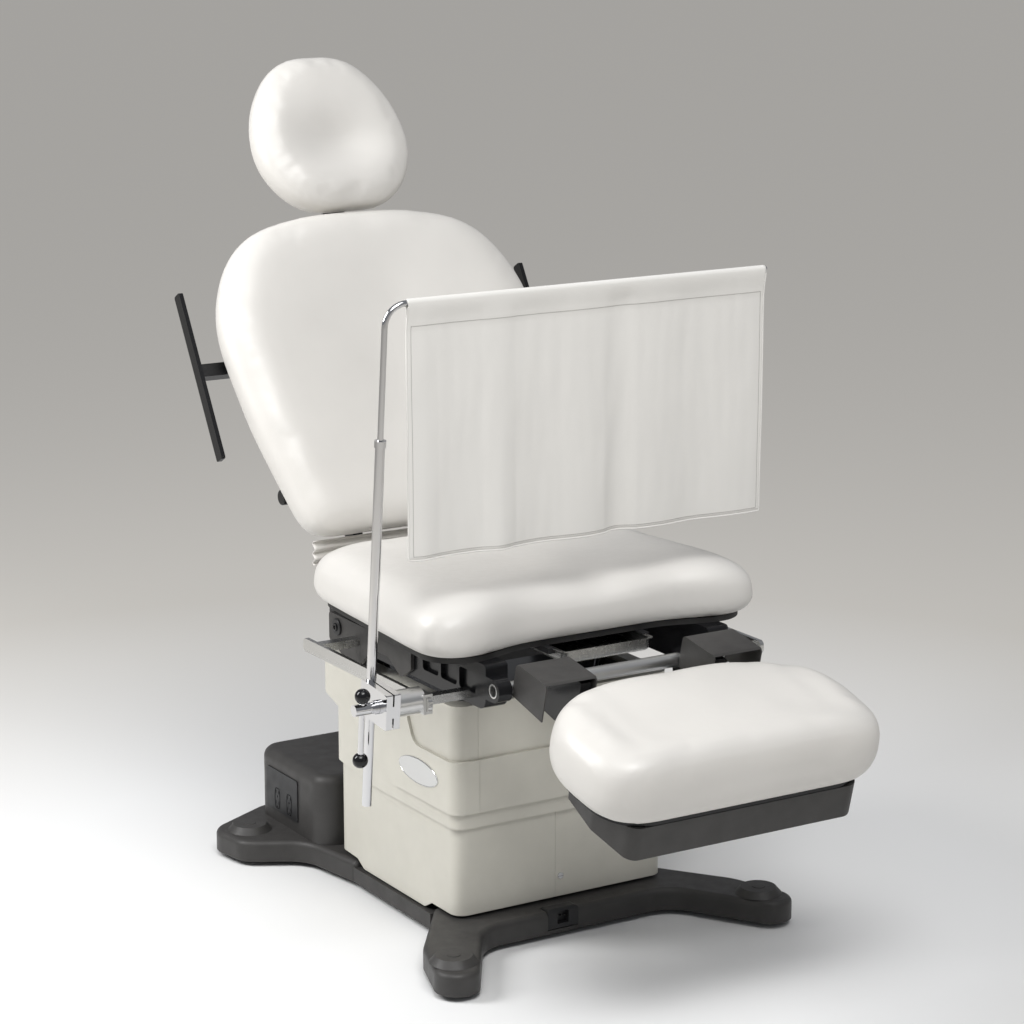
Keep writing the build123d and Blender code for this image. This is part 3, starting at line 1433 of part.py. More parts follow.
head_cushion_block = soft_pad(head_rear, head_outline, head_centre, head_thickness, head_level_shares)
hollow_s = head_bottom_s + head_height * head_hollow_s_share
with BuildPart() as headrest_cushion:
    add(head_cushion_block.part)
    with BuildSketch(head_rear.offset(head_thickness - head_hollow_depth)):
        with Locations((0, hollow_s)):
            Ellipse(head_hollow_half_width / 2, head_hollow_half_height / 2)
    with BuildSketch(head_rear.offset(head_thickness + overrun)):
        with Locations((0, hollow_s)):
            Ellipse(head_hollow_half_width, head_hollow_half_height)
    loft(mode=Mode.SUBTRACT)
finish(headrest_cushion, "headrest_cushion")

# Foot section: hinge tube, two arms with their covers, then the part that slides on the arms
hinge_place = foot_side(0).to_local_coords(Vector(0, foot_hinge_y, foot_hinge_z))
hinge_u = -hinge_place.X
hinge_n = hinge_place.Y
with BuildPart() as foot_hinge_tube:
    with BuildSketch(side_plane(0)):
        with Locations((foot_hinge_y, foot_hinge_z)):
            Circle(foot_tube_radius)
            Circle(foot_tube_radius - foot_channel_wall, mode=Mode.SUBTRACT)
    extrude(amount=beam_outer_x, both=True)
finish(foot_hinge_tube, "foot_hinge_tube")

bar_top_n = -foot_cushion_height - foot_board_thickness - rest_gap
bar_bottom_n = bar_top_n - foot_bar_height
foot_bar_x = foot_bar_outer_x - foot_bar_width / 2
gusset_top_n = foot_cover_top_n - foot_cover_top_drop - foot_cover_wall
with BuildPart() as foot_arms:
    for side in (-1, 1):
        with BuildSketch(foot_side(side * foot_bar_x)):
            with BuildLine():
                Polyline(
                    (-foot_bar_front_u, bar_bottom_n),
                    (-foot_bar_front_u, bar_top_n),
                    (-foot_gusset_front_u, bar_top_n),
                    (-foot_gusset_front_u, gusset_top_n),
                    (-hinge_u - foot_lug_radius, gusset_top_n),
                    (-hinge_u + foot_lug_radius, hinge_n),
                    (-hinge_u, bar_bottom_n),
                    close=True,
                )
            make_face()
            with Locations((-hinge_u, hinge_n)):
                Circle(foot_lug_radius)
                Circle(foot_tube_radius + run_gap, mode=Mode.SUBTRACT)
        extrude(amount=foot_bar_width / 2, both=True)
    with BuildSketch(foot_side(0)):
        with Locations((-foot_cross_u, bar_top_n - foot_bar_height / 2)):
            Rectangle(foot_cross_width, foot_bar_height)
    extrude(amount=foot_bar_x, both=True)
finish(foot_arms, "foot_arms")

cover_middle_x = (foot_cover_inner_x + foot_cover_outer_x) / 2
cover_half_width = (foot_cover_outer_x - foot_cover_inner_x) / 2
cover_outline = [
    (-foot_cover_front_u, foot_cover_bottom_n, 0),
    (-foot_cover_front_u, foot_cover_top_n, foot_cover_edge_radius),
    (-foot_cover_rear_u, foot_cover_top_n - foot_cover_top_drop, foot_cover_edge_radius),
    (-foot_cover_rear_u, foot_cover_bottom_n, 0),
]
with BuildPart() as foot_arm_covers:
    for side in (-1, 1):
        with BuildSketch(foot_side(side * cover_middle_x)):
            rounded_face(cover_outline)
        extrude(amount=cover_half_width, both=True)
    for side in (-1, 1):
        with BuildSketch(foot_side(side * cover_middle_x)):
            with BuildLine():
                Polyline(
                    (-foot_cover_front_u - foot_cover_wall, foot_cover_bottom_n - overrun),
                    (-foot_cover_front_u - foot_cover_wall, foot_cover_top_n - foot_cover_wall),
                    (-foot_cover_rear_u + overrun, gusset_top_n + rest_gap),
                    (-foot_cover_rear_u + overrun, foot_cover_bottom_n - overrun),
                    close=True,
                )
            make_face()
        extrude(amount=cover_half_width - foot_cover_wall, both=True, mode=Mode.SUBTRACT)
    with BuildSketch(foot_side(0)):
        with Locations((-hinge_u, hinge_n)):
            Circle(foot_tube_radius + cover_gap)
    extrude(amount=foot_cover_outer_x + overrun, both=True, mode=Mode.SUBTRACT)
finish(foot_arm_covers, "foot_arm_covers")

foot_outline = softened(mirrored_outline([
    (foot_rear_half_width, foot_rear_rise, 0),
    (foot_half_width, -foot_widest_u, 0),
    (foot_front_half_width, -foot_front_u, foot_front_radius),
]))
foot_centre = (0.0, -foot_front_u / 2)
foot_bottom = foot_top.offset(-foot_cushion_height)
channel_front_u = tray_rear_u - overrun
channel_rear_u = foot_front_u * (1 - foot_board_share) / 2
channel_inner = foot_bar_x - foot_bar_width / 2 - rest_gap
channel_outer = foot_bar_x + foot_bar_width / 2 + rest_gap
with BuildPart() as foot_board:
    with BuildSketch(foot_bottom):
        rounded_face(foot_outline, foot_board_share, foot_centre)
    extrude(amount=-foot_board_thickness)
    with BuildSketch(foot_bottom.offset(-foot_board_thickness)):
        with Locations(
            (-foot_bar_x, -(channel_front_u + channel_rear_u) / 2),
            (foot_bar_x, -(channel_front_u + channel_rear_u) / 2),
        ):
            Rectangle(channel_outer - channel_inner + 2 * foot_channel_wall, channel_front_u - channel_rear_u)
            Rectangle(channel_outer - channel_inner, channel_front_u - channel_rear_u + overrun,
                      mode=Mode.SUBTRACT)
    extrude(amount=-(foot_bar_height + 2 * rest_gap))
    with BuildSketch(foot_bottom.offset(-foot_board_thickness - foot_bar_height - 2 * rest_gap)):
        for side in (-1, 1):
            with Locations(
                (side * (channel_inner - foot_channel_wall + foot_channel_lip / 2),
                 -(channel_front_u + channel_rear_u) / 2),
                (side * (channel_outer + foot_channel_wall - foot_channel_lip / 2),
                 -(channel_front_u + channel_rear_u) / 2),
            ):
                Rectangle(foot_channel_lip, channel_front_u - channel_rear_u)
    extrude(amount=-foot_channel_wall)
finish(foot_board, "foot_board")

foot_cushion_block = soft_pad(foot_bottom, foot_outline, foot_centre, foot_cushion_height, foot_level_shares)
with BuildPart() as foot_cushion:
    add(foot_cushion_block.part)
    with BuildSketch(foot_top.offset(-foot_hollow_depth)):
        with Locations((0, -foot_hollow_u)):
            RectangleRounded(foot_hollow_half_width, foot_hollow_length / 2, foot_hollow_radius / 2)
    with BuildSketch(foot_top.offset(overrun)):
        with Locations((0, -foot_hollow_u)):
            RectangleRounded(2 * foot_hollow_half_width, foot_hollow_length, foot_hollow_radius)
    loft(mode=Mode.SUBTRACT)
finish(foot_cushion, "foot_cushion")

# Tray under the foot section, deeper towards the front
tray_outline = mirrored_outline([
    (tray_half_width, -tray_rear_u, tray_corner_radius / 2),
    (tray_half_width, -(tray_rear_u + tray_front_u) / 2, tray_corner_radius),
    (tray_front_half_width, -tray_front_u, tray_corner_radius),
])
tray_middle = (0.0, -(tray_rear_u + tray_front_u) / 2)
tray_inner_share = 1 - 2 * tray_wall / (tray_front_u - tray_rear_u)


def tray_slope(wall):
    """Cut everything below the sloping floor of the tray, raised by a wall."""
    with BuildSketch(foot_side(0)) as below:
        with BuildLine() as wedge:
            Polyline(
                (-tray_rear_u + overrun, tray_top_n - tray_rear_depth + wall),
                (-tray_front_u - overrun, tray_top_n - tray_front_depth + wall),
                (-tray_front_u - overrun, tray_top_n - 2 * tray_front_depth),
                (-tray_rear_u + overrun, tray_top_n - 2 * tray_front_depth),
                close=True,
            )
        make_face(wedge.edges())
    extrude(below.sketch, amount=tray_half_width + overrun, both=True, mode=Mode.SUBTRACT)


tray_top_n = -foot_cushion_height - foot_board_thickness
with BuildPart() as tray_inside:
    with BuildSketch(foot_top.offset(tray_top_n)):
        rounded_face(tray_outline, tray_inner_share, tray_middle)
    extrude(amount=-tray_front_depth)
    tray_slope(tray_wall)
with BuildPart() as foot_tray:
    with BuildSketch(foot_top.offset(tray_top_n)):
        rounded_face(tray_outline)
    extrude(amount=-tray_front_depth)
    tray_slope(0)
    add(tray_inside.part, mode=Mode.SUBTRACT)
finish(foot_tray, "foot_tray")

# Treatment pan and the two runners that carry its lip
pan_middle_y = pan_front_y + pan_length / 2
with BuildPart() as treatment_pan:
    with BuildSketch(Plane.XY.offset(pan_bottom_z)):
        with Locations((0, pan_middle_y)):
            RectangleRounded(2 * pan_half_width, pan_length, pan_corner_radius)
    extrude(amount=pan_top_z - pan_bottom_z)
    fillet(treatment_pan.edges().group_by(Axis.Z)[0], pan_corner_radius / 2)
    offset(amount=-pan_wall, openings=treatment_pan.faces().sort_by(Axis.Z)[-1])
    with BuildSketch(Plane.XY.offset(pan_top_z - pan_wall)):
        with Locations((0, pan_middle_y)):
            RectangleRounded(2 * (pan_half_width + pan_lip_width), pan_length, pan_corner_radius)
            RectangleRounded(2 * (pan_half_width - pan_wall), pan_length - 2 * pan_wall,
                             pan_corner_radius - pan_wall, mode=Mode.SUBTRACT)
    extrude(amount=pan_wall)
finish(treatment_pan, "treatment_pan")

runner_inner_x = pan_half_width + slide_gap
runner_outer_x = pan_half_width + pan_lip_width + rest_gap + runner_web
lip_middle_z = pan_top_z - pan_wall / 2
with BuildPart() as pan_runners:
    for side in (-1, 1):
        with BuildSketch(Plane.XZ.offset(-runner_front_y)):
            with Locations((side * (runner_inner_x + runner_outer_x) / 2, seat_board_z - runner_height / 2)):
                Rectangle(runner_outer_x - runner_inner_x, runner_height)
            with Locations((side * pan_half_width, lip_middle_z)):
                Rectangle(2 * (pan_lip_width + rest_gap), pan_wall + 2 * rest_gap, mode=Mode.SUBTRACT)
        extrude(amount=-runner_length)
finish(pan_runners, "pan_runners")

# Rail clamp: a round body that hooks over the rail, in front of which the split jaws turn
clamp_face_x = seat_rail_x + rail_thickness / 2 + rest_gap
hook_rear_x = seat_rail_x - rail_thickness / 2 - rest_gap - clamp_hook_reach
hook_outer_half = rail_width / 2 + rest_gap + clamp_hook_height
rail_half_depth = rail_thickness / 2 + rest_gap
with BuildPart() as clamp_body:
    with BuildSketch(side_plane(-clamp_face_x)):
        with Locations((clamp_y, clamp_z)):
            Circle(clamp_radius)
    extrude(amount=clamp_face_x - clamp_outer_x)
    fillet(clamp_body.edges().group_by(Axis.X)[0], clamp_edge_radius)
    with BuildSketch(side_plane(-clamp_face_x - clamp_hook_height)):
        with Locations((clamp_y, seat_rail_z)):
            Rectangle(2 * clamp_radius, 2 * hook_outer_half)
    extrude(amount=clamp_face_x + clamp_hook_height - hook_rear_x)
    with BuildSketch(side_plane(-clamp_face_x)):
        with Locations((clamp_y, seat_rail_z)):
            Rectangle(3 * clamp_radius, rail_width + 2 * rest_gap)
    extrude(amount=2 * rail_half_depth, mode=Mode.SUBTRACT)
    with BuildSketch(side_plane(-seat_rail_x)):
        with Locations((clamp_y, seat_rail_z)):
            Rectangle(3 * clamp_radius, standoff_height + 2 * slide_gap)
    extrude(amount=seat_rail_x, mode=Mode.SUBTRACT)
    with BuildSketch(side_plane(-clamp_outer_x)):
        with Locations((clamp_y, clamp_z)):
            Circle(screw_radius + run_gap)
    extrude(amount=screw_length + slide_gap, mode=Mode.SUBTRACT)
finish(clamp_body, "clamp_body")

# Split jaws, square to the leaning post
jaw_plane = turned_plane(0, clamp_y, clamp_z, post_lean)
jaw_inner_x = clamp_outer_x + rest_gap
jaw_split_x = jaw_inner_x + jaw_thickness
jaw_outer_x = jaw_split_x + jaw_gap + jaw_thickness
post_x = jaw_split_x + jaw_gap / 2
jaw_width = jaw_front_reach + jaw_rear_reach
with BuildPart() as jaw_plates:
    for near_x in (jaw_outer_x, jaw_split_x):
        with BuildSketch(jaw_plane.offset(-near_x)):
            with Locations((jaw_rear_reach - jaw_width / 2, 0)):
                RectangleRounded(jaw_width, jaw_height, jaw_edge_radius)
            Circle(screw_radius + run_gap, mode=Mode.SUBTRACT)
        extrude(amount=jaw_thickness)
    with BuildSketch(jaw_plane.offset(-jaw_split_x - jaw_gap)):
        with Locations((-jaw_front_reach + jaw_edge_radius, 0)):
            Rectangle(2 * jaw_edge_radius, jaw_height / 3)
    extrude(amount=jaw_gap)
    post_plane = Plane(
        origin=moved_point(jaw_plane, post_offset, 0, -post_x), x_dir=(1, 0, 0), z_dir=jaw_plane.y_dir
    )
    with BuildSketch(post_plane):
        Circle(post_radius + run_gap)
    extrude(amount=jaw_height, both=True, mode=Mode.SUBTRACT)
finish(jaw_plates, "jaw_plates")

# Clamp screw with its hub and the tommy bar that slides through it
bar_x = jaw_outer_x + hub_length - bar_from_hub_end
with BuildPart() as clamp_screw:
    with BuildSketch(jaw_plane.offset(-jaw_outer_x - rest_gap - hub_length)):
        Circle(hub_radius)
    extrude(amount=hub_length)
    with BuildSketch(jaw_plane.offset(-jaw_outer_x - rest_gap - hub_collar_length)):
        Circle(hub_collar_radius)
    extrude(amount=hub_collar_length)
    with BuildSketch(jaw_plane.offset(-jaw_outer_x - rest_gap)):
        Circle(screw_radius)
    extrude(amount=jaw_outer_x - clamp_outer_x + rest_gap + screw_length)
    bar_plane = Plane(origin=moved_point(jaw_plane, 0, 0, -bar_x), x_dir=(1, 0, 0), z_dir=jaw_plane.y_dir)
    with BuildSketch(bar_plane):
        Circle(bar_radius + run_gap)
    extrude(amount=2 * hub_radius, both=True, mode=Mode.SUBTRACT)
finish(clamp_screw, "clamp_screw")

ball_rest = hub_radius + ball_radius + rest_gap
with BuildPart() as tommy_bar:
    with BuildSketch(bar_plane.offset(ball_rest - bar_ball_distance)):
        Circle(bar_radius)
    extrude(amount=bar_ball_distance)
finish(tommy_bar, "tommy_bar")
with BuildPart() as ball_knobs:
    for height in (ball_rest, ball_rest - bar_ball_distance):
        with BuildSketch(Plane(origin=moved_point(bar_plane, 0, 0, height), x_dir=(0, 1, 0), z_dir=(1, 0, 0))):
            Circle(ball_radius)
            with Locations((0, -ball_radius)):
                Rectangle(2 * ball_radius, 2 * ball_radius, mode=Mode.SUBTRACT)
        revolve(axis=Axis(moved_point(bar_plane, 0, 0, height), (0, 1, 0)))
    with BuildSketch(bar_plane.offset(ball_rest - bar_ball_distance)):
        Circle(bar_radius)
    extrude(amount=bar_ball_distance, mode=Mode.SUBTRACT)
finish(ball_knobs, "ball_knobs")

# Post tube with its collar
with BuildPart() as drape_post:
    with BuildSketch(post_plane.offset(post_bottom)):
        Circle(post_radius)
        Circle(rod_radius + run_gap, mode=Mode.SUBTRACT)
    extrude(amount=post_top - post_bottom)
    with BuildSketch(post_plane.offset(post_top - post_collar_length)):
        Circle(post_collar_radius)
        Circle(rod_radius + run_gap, mode=Mode.SUBTRACT)
    extrude(amount=post_collar_length)
finish(drape_post, "drape_post")

# Rod: up inside the post, round one bend and level across the chair
rod_low = moved_point(post_plane, 0, 0, post_top - rod_inside)
rod_corner = moved_point(post_plane, 0, 0, rod_level)
rod_end = rod_corner + Vector(rod_reach, 0, 0)
with BuildPart() as drape_rod:
    with BuildLine():
        FilletPolyline(rod_low, rod_corner, rod_end, radius=rod_bend_radius)
    with BuildSketch(post_plane.offset(post_top - rod_inside)):
        Circle(rod_radius)
    sweep()
finish(drape_rod, "drape_rod")

# Drape: a sleeve round the rod and a cloth that hangs in uneven folds
drape_left_x = rod_end.X - drape_end_gap
sleeve_inner = rod_radius + rest_gap
sleeve_outer = sleeve_inner + sleeve_wall
stitch_z = rod_corner.Z + sleeve_outer - sleeve_height
hem_z = rod_corner.Z + sleeve_outer - drape_height


def fold_band(depth_share, y):
    """Section of the hanging cloth: arcs that bow in turn to the front and to the rear."""
    with BuildLine() as band:
        for shift in (0, drape_thickness):
            for place, depth in enumerate(fold_depths):
                left = drape_left_x - drape_width * fold_shares[place]
                right = drape_left_x - drape_width * fold_shares[place + 1]
                bow = depth * depth_share * (1 if place % 2 else -1)
                ThreePointArc((left, y + shift), ((left + right) / 2, y + shift + bow), (right, y + shift))
        Line((drape_left_x, y), (drape_left_x, y + drape_thickness))
        Line((drape_left_x - drape_width, y), (drape_left_x - drape_width, y + drape_thickness))
    make_face(band.edges())


with BuildPart() as drape:
    with BuildSketch(Plane.XY.offset(hem_z)):
        fold_band(1, rod_corner.Y - drape_thickness / 2)
    with BuildSketch(Plane.XY.offset(stitch_z)):
        fold_band(fold_top_share, rod_corner.Y - drape_thickness / 2)
    loft(ruled=True)
    with BuildSketch(side_plane(drape_left_x)):
        with BuildLine():
            rear_arc = CenterArc((rod_corner.Y, rod_corner.Z), sleeve_outer, 0, 180)
            Line(rear_arc @ 1, (rod_corner.Y - drape_thickness, stitch_z))
            Line((rod_corner.Y - drape_thickness, stitch_z), (rod_corner.Y + drape_thickness, stitch_z))
            Line((rod_corner.Y + drape_thickness, stitch_z), rear_arc @ 0)
        make_face()
        with BuildLine():
            inner_arc = CenterArc((rod_corner.Y, rod_corner.Z), sleeve_inner, 0, 180)
            Line(inner_arc @ 1, (rod_corner.Y, stitch_z + sleeve_outer))
            Line((rod_corner.Y, stitch_z + sleeve_outer), inner_arc @ 0)
        make_face(mode=Mode.SUBTRACT)
    extrude(amount=-drape_width)
finish(drape, "drape")

# Tilt actuator: a body that turns on the carriage and a rod with an open eye under the seat
tilt_run = math.hypot(tilt_high_y - tilt_low_y, tilt_high_z - tilt_low_z)
tilt_lean = math.degrees(math.atan2(tilt_low_y - tilt_high_y, tilt_high_z - tilt_low_z))
tilt_plane = turned_plane(tilt_actuator_x, tilt_low_y, tilt_low_z, tilt_lean)
tilt_axis_plane = Plane(origin=tilt_plane.origin, x_dir=(1, 0, 0), z_dir=tilt_plane.y_dir)
tilt_body_top = tilt_run * tilt_body_share
with BuildPart() as tilt_actuator_body:
    with BuildSketch(tilt_axis_plane.offset(actuator_eye_radius + slide_gap)):
        Circle(actuator_body_radius)
        Circle(actuator_rod_radius + run_gap, mode=Mode.SUBTRACT)
    extrude(amount=tilt_body_top - actuator_eye_radius - slide_gap)
    with BuildSketch(tilt_plane):
        Circle(actuator_eye_radius)
        with Locations((0, actuator_eye_radius / 2 + actuator_pin_radius)):
            Rectangle(2 * actuator_eye_radius, actuator_eye_radius)
        Circle(actuator_pin_radius + run_gap, mode=Mode.SUBTRACT)
    extrude(amount=actuator_eye_width / 2, both=True)
finish(tilt_actuator_body, "tilt_actuator_body")

with BuildPart() as tilt_actuator_rod:
    with BuildSketch(tilt_axis_plane.offset(3 * actuator_eye_radius)):
        Circle(actuator_rod_radius)
    extrude(amount=tilt_run - 3 * actuator_eye_radius - actuator_pin_radius - link_gap)
    with BuildSketch(tilt_plane):
        with Locations((0, tilt_run)):
            Circle(actuator_eye_radius)
    extrude(amount=actuator_eye_width / 2 - slide_gap, both=True)
    with BuildSketch(tilt_plane):
        with Locations((0, tilt_run)):
            Circle(actuator_pin_radius + link_gap)
    extrude(amount=actuator_eye_radius, both=True, mode=Mode.SUBTRACT)
finish(tilt_actuator_rod, "tilt_actuator_rod")

# Back actuator: a body bolted to the front cross beam and a rod whose pin rides in the lever
back_axis_plane = Plane(
    origin=(lever_x, back_body_front_y + actuator_plate_thickness, back_actuator_z),
    x_dir=(1, 0, 0), z_dir=(0, 1, 0),
)
fork_half = lever_thickness / 2 + slide_gap + actuator_plate_thickness
with BuildPart() as back_actuator_body:
    with BuildSketch(back_axis_plane):
        Circle(actuator_body_radius)
    extrude(amount=back_body_length)
    with BuildSketch(back_axis_plane.offset(back_body_length)):
        Circle(actuator_rod_radius + run_gap)
    extrude(amount=-(back_body_length - actuator_body_radius), mode=Mode.SUBTRACT)
finish(back_actuator_body, "back_actuator_body")

rod_start_y = back_body_front_y + back_body_length * back_rod_start_share
fork_root_y = lever_foot_y - 2 * lever_half_width - link_gap
with BuildPart() as back_actuator_rod:
    with BuildSketch(Plane(origin=(lever_x, rod_start_y, back_actuator_z), x_dir=(1, 0, 0), z_dir=(0, 1, 0))):
        Circle(actuator_rod_radius)
    extrude(amount=fork_root_y - rod_start_y)
    for side in (-1, 1):
        with BuildSketch(side_plane(lever_x + side * (fork_half - actuator_plate_thickness / 2))):
            with Locations(((fork_root_y + lever_foot_y) / 2, back_actuator_z)):
                Rectangle(lever_foot_y - fork_root_y, 2 * actuator_rod_radius)
            with Locations((lever_foot_y, back_actuator_z)):
                Circle(actuator_rod_radius)
        extrude(amount=actuator_plate_thickness / 2, both=True)
    with BuildSketch(side_plane(lever_x)):
        with Locations((fork_root_y, back_actuator_z)):
            Rectangle(actuator_plate_thickness, 2 * actuator_rod_radius)
        with Locations((lever_foot_y, back_actuator_z)):
            Circle(actuator_pin_radius)
    extrude(amount=fork_half, both=True)
finish(back_actuator_rod, "back_actuator_rod")

# Move the chair so that the origin is on the floor under the middle of its outline, and write it
corners = [piece.part.bounding_box() for piece in pieces]
middle_x = (min(box.min.X for box in corners) + max(box.max.X for box in corners)) / 2
middle_y = (min(box.min.Y for box in corners) + max(box.max.Y for box in corners)) / 2
for piece in pieces:
    placed = piece.part.moved(Location((-middle_x, -middle_y, 0)))
    placed.label = piece.part.label
    export_step(placed, f"parts/{placed.label}.step")
print(f"{len(pieces)} pieces, moved by {-middle_x:.3f} and {-middle_y:.3f}")
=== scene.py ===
"""Looks of the powered procedure chair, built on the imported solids, in metres."""

import json
import math

import bpy
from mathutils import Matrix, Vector, noise


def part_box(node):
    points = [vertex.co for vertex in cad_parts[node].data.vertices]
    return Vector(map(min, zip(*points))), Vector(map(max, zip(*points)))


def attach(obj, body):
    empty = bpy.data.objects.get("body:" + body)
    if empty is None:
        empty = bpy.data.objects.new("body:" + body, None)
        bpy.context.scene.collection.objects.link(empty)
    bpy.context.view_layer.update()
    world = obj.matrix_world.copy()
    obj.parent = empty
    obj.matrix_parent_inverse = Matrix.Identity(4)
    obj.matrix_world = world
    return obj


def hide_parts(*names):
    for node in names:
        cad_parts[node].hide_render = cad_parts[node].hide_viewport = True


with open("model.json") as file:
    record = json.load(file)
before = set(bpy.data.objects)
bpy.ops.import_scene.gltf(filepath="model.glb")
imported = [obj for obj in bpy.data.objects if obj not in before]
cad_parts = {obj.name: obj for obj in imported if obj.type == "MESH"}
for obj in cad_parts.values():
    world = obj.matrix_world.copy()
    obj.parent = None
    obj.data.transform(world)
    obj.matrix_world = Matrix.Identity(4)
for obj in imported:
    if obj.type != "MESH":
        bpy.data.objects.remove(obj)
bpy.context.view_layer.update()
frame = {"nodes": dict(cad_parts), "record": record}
nodes = frame["nodes"]
scene = bpy.context.scene
scene.view_settings.view_transform = "Standard"

# The pads are drawn about the lift column in millimetres, and the shift brings them to the shared frame
shift = Vector((57.175, 12.584, 0.0))
mm = 0.001


# Materials
def new_material(name, color, rough, metallic=0.0, **sockets):
    """A node material with its shader and object coordinates ready."""
    material = bpy.data.materials.new(name)
    material.use_nodes = True
    tree = material.node_tree
    shader = tree.nodes["Principled BSDF"]
    shader.inputs["Base Color"].default_value = (*color, 1.0)
    shader.inputs["Roughness"].default_value = rough
    shader.inputs["Metallic"].default_value = metallic
    for socket, value in sockets.items():
        shader.inputs[socket.replace("_", " ")].default_value = value
    coords = tree.nodes.new("ShaderNodeTexCoord")
    return material, tree, shader, coords.outputs["Object"]


def noise_node(tree, vector, scale, detail=3.0, roughness=0.5):
    node = tree.nodes.new("ShaderNodeTexNoise")
    node.inputs["Scale"].default_value = scale
    node.inputs["Detail"].default_value = detail
    node.inputs["Roughness"].default_value = roughness
    tree.links.new(vector, node.inputs["Vector"])
    return node.outputs["Fac"]


def ranged(tree, value, low, high, from_low=0.3, from_high=0.7):
    node = tree.nodes.new("ShaderNodeMapRange")
    node.inputs["From Min"].default_value = from_low
    node.inputs["From Max"].default_value = from_high
    node.inputs["To Min"].default_value = low
    node.inputs["To Max"].default_value = high
    tree.links.new(value, node.inputs["Value"])
    return node.outputs["Result"]


def mixed(tree, factor, first, second):
    node = tree.nodes.new("ShaderNodeMix")
    node.data_type = "RGBA"
    node.inputs["A"].default_value = (*first, 1.0)
    node.inputs["B"].default_value = (*second, 1.0)
    tree.links.new(factor, node.inputs["Factor"])
    return node.outputs["Result"]


def bumped(tree, shader, height, strength, distance, base=None):
    node = tree.nodes.new("ShaderNodeBump")
    node.inputs["Strength"].default_value = strength
    node.inputs["Distance"].default_value = distance
    tree.links.new(height, node.inputs["Height"])
    if base is not None:
        tree.links.new(base, node.inputs["Normal"])
    if shader is not None:
        tree.links.new(node.outputs["Normal"], shader.inputs["Normal"])
    return node.outputs["Normal"]


def stretched(tree, vector, scale):
    node = tree.nodes.new("ShaderNodeMapping")
    node.inputs["Scale"].default_value = scale
    tree.links.new(vector, node.inputs["Vector"])
    return node.outputs["Vector"]


def uneven_gloss(tree, shader, vector, scale, low, high, detail=3.0):
    """Roughness that wanders between two values."""
    gloss = ranged(tree, noise_node(tree, vector, scale, detail), low, high)
    tree.links.new(gloss, shader.inputs["Roughness"])


def varied(tree, shader, vector, color, spread, scale):
    """Colour that drifts a little over the surface."""
    drift = ranged(tree, noise_node(tree, vector, scale, 4.0), 0.0, 1.0)
    dark = tuple(c * (1 - spread) for c in color)
    light = tuple(min(1.0, c * (1 + spread)) for c in color)
    tree.links.new(mixed(tree, drift, dark, light), shader.inputs["Base Color"])


def leather(name, color, grain_scale, grain, rough):
    """Artificial leather: pebbled grain, soft colour drift and uneven gloss."""
    material, tree, shader, place = new_material(name, color, rough, Specular_IOR_Level=0.45)
    varied(tree, shader, place, color, 0.02, 6.0)
    pebble = tree.nodes.new("ShaderNodeTexVoronoi")
    pebble.feature = "SMOOTH_F1"
    pebble.inputs["Scale"].default_value = grain_scale
    tree.links.new(place, pebble.inputs["Vector"])
    uneven_gloss(tree, shader, place, 60.0, rough - 0.05, rough + 0.08)
    soft = bumped(tree, None, noise_node(tree, place, 14.0, 2.0), 0.25, 0.0022)
    bumped(tree, shader, pebble.outputs["Distance"], grain, 0.0005, soft)
    return material


def moulding(name, color, rough, grain_scale, grain, spread=0.04):
    """Moulded plastic with a fine spark-eroded texture."""
    material, tree, shader, place = new_material(name, color, rough, Specular_IOR_Level=0.38)
    varied(tree, shader, place, color, spread, 22.0)
    uneven_gloss(tree, shader, place, 35.0, rough - 0.05, rough + 0.07)
    bumped(tree, shader, noise_node(tree, place, grain_scale, 2.0, 0.6), grain, 0.0004)
    return material


def paint(name, color, rough):
    """Powder coat: orange-peel ripple and a thin clear gloss."""
    material, tree, shader, place = new_material(
        name, color, rough, Specular_IOR_Level=0.28, Coat_Weight=0.06, Coat_Roughness=0.12
    )
    varied(tree, shader, place, color, 0.08, 30.0)
    bumped(tree, shader, noise_node(tree, place, 420.0, 2.0), 0.08, 0.0004)
    return material


def brushed(name, color, rough, direction):
    """Metal with fine draw lines along one direction."""
    material, tree, shader, place = new_material(name, color, rough, 1.0)
    lines = noise_node(tree, stretched(tree, place, direction), 60.0, 5.0, 0.7)
    tree.links.new(ranged(tree, lines, rough - 0.03, rough + 0.04), shader.inputs["Roughness"])
    groove = tuple(c * 0.97 for c in color)
    tree.links.new(mixed(tree, ranged(tree, lines, 0.0, 1.0), groove, color), shader.inputs["Base Color"])
    bumped(tree, shader, lines, 0.03, 0.0001)
    return material


def chrome(name, color):
    """Polished plate with faint handling haze."""
    material, tree, shader, place = new_material(name, color, 0.06, 1.0)
    uneven_gloss(tree, shader, place, 45.0, 0.035, 0.12, 5.0)
    return material


def wave(tree, vector, direction):
    node = tree.nodes.new("ShaderNodeTexWave")
    node.inputs["Scale"].default_value = 260.0
    node.bands_direction = direction
    tree.links.new(vector, node.inputs["Vector"])
    return node.outputs["Fac"]


def cloth(name, color):
    """Coated drape cloth: a close weave under a soft film."""
    material, tree, shader, place = new_material(name, color, 0.55, Sheen_Weight=0.12, Sheen_Roughness=0.4)
    varied(tree, shader, place, color, 0.012, 7.0)
    weave = tree.nodes.new("ShaderNodeMath")
    weave.operation = "ADD"
    tree.links.new(wave(tree, place, "X"), weave.inputs[0])
    tree.links.new(wave(tree, place, "Z"), weave.inputs[1])
    soft = bumped(tree, None, noise_node(tree, place, 9.0, 2.0), 0.15, 0.0014)
    bumped(tree, shader, weave.outputs["Value"], 0.06, 0.0003, soft)
    return material


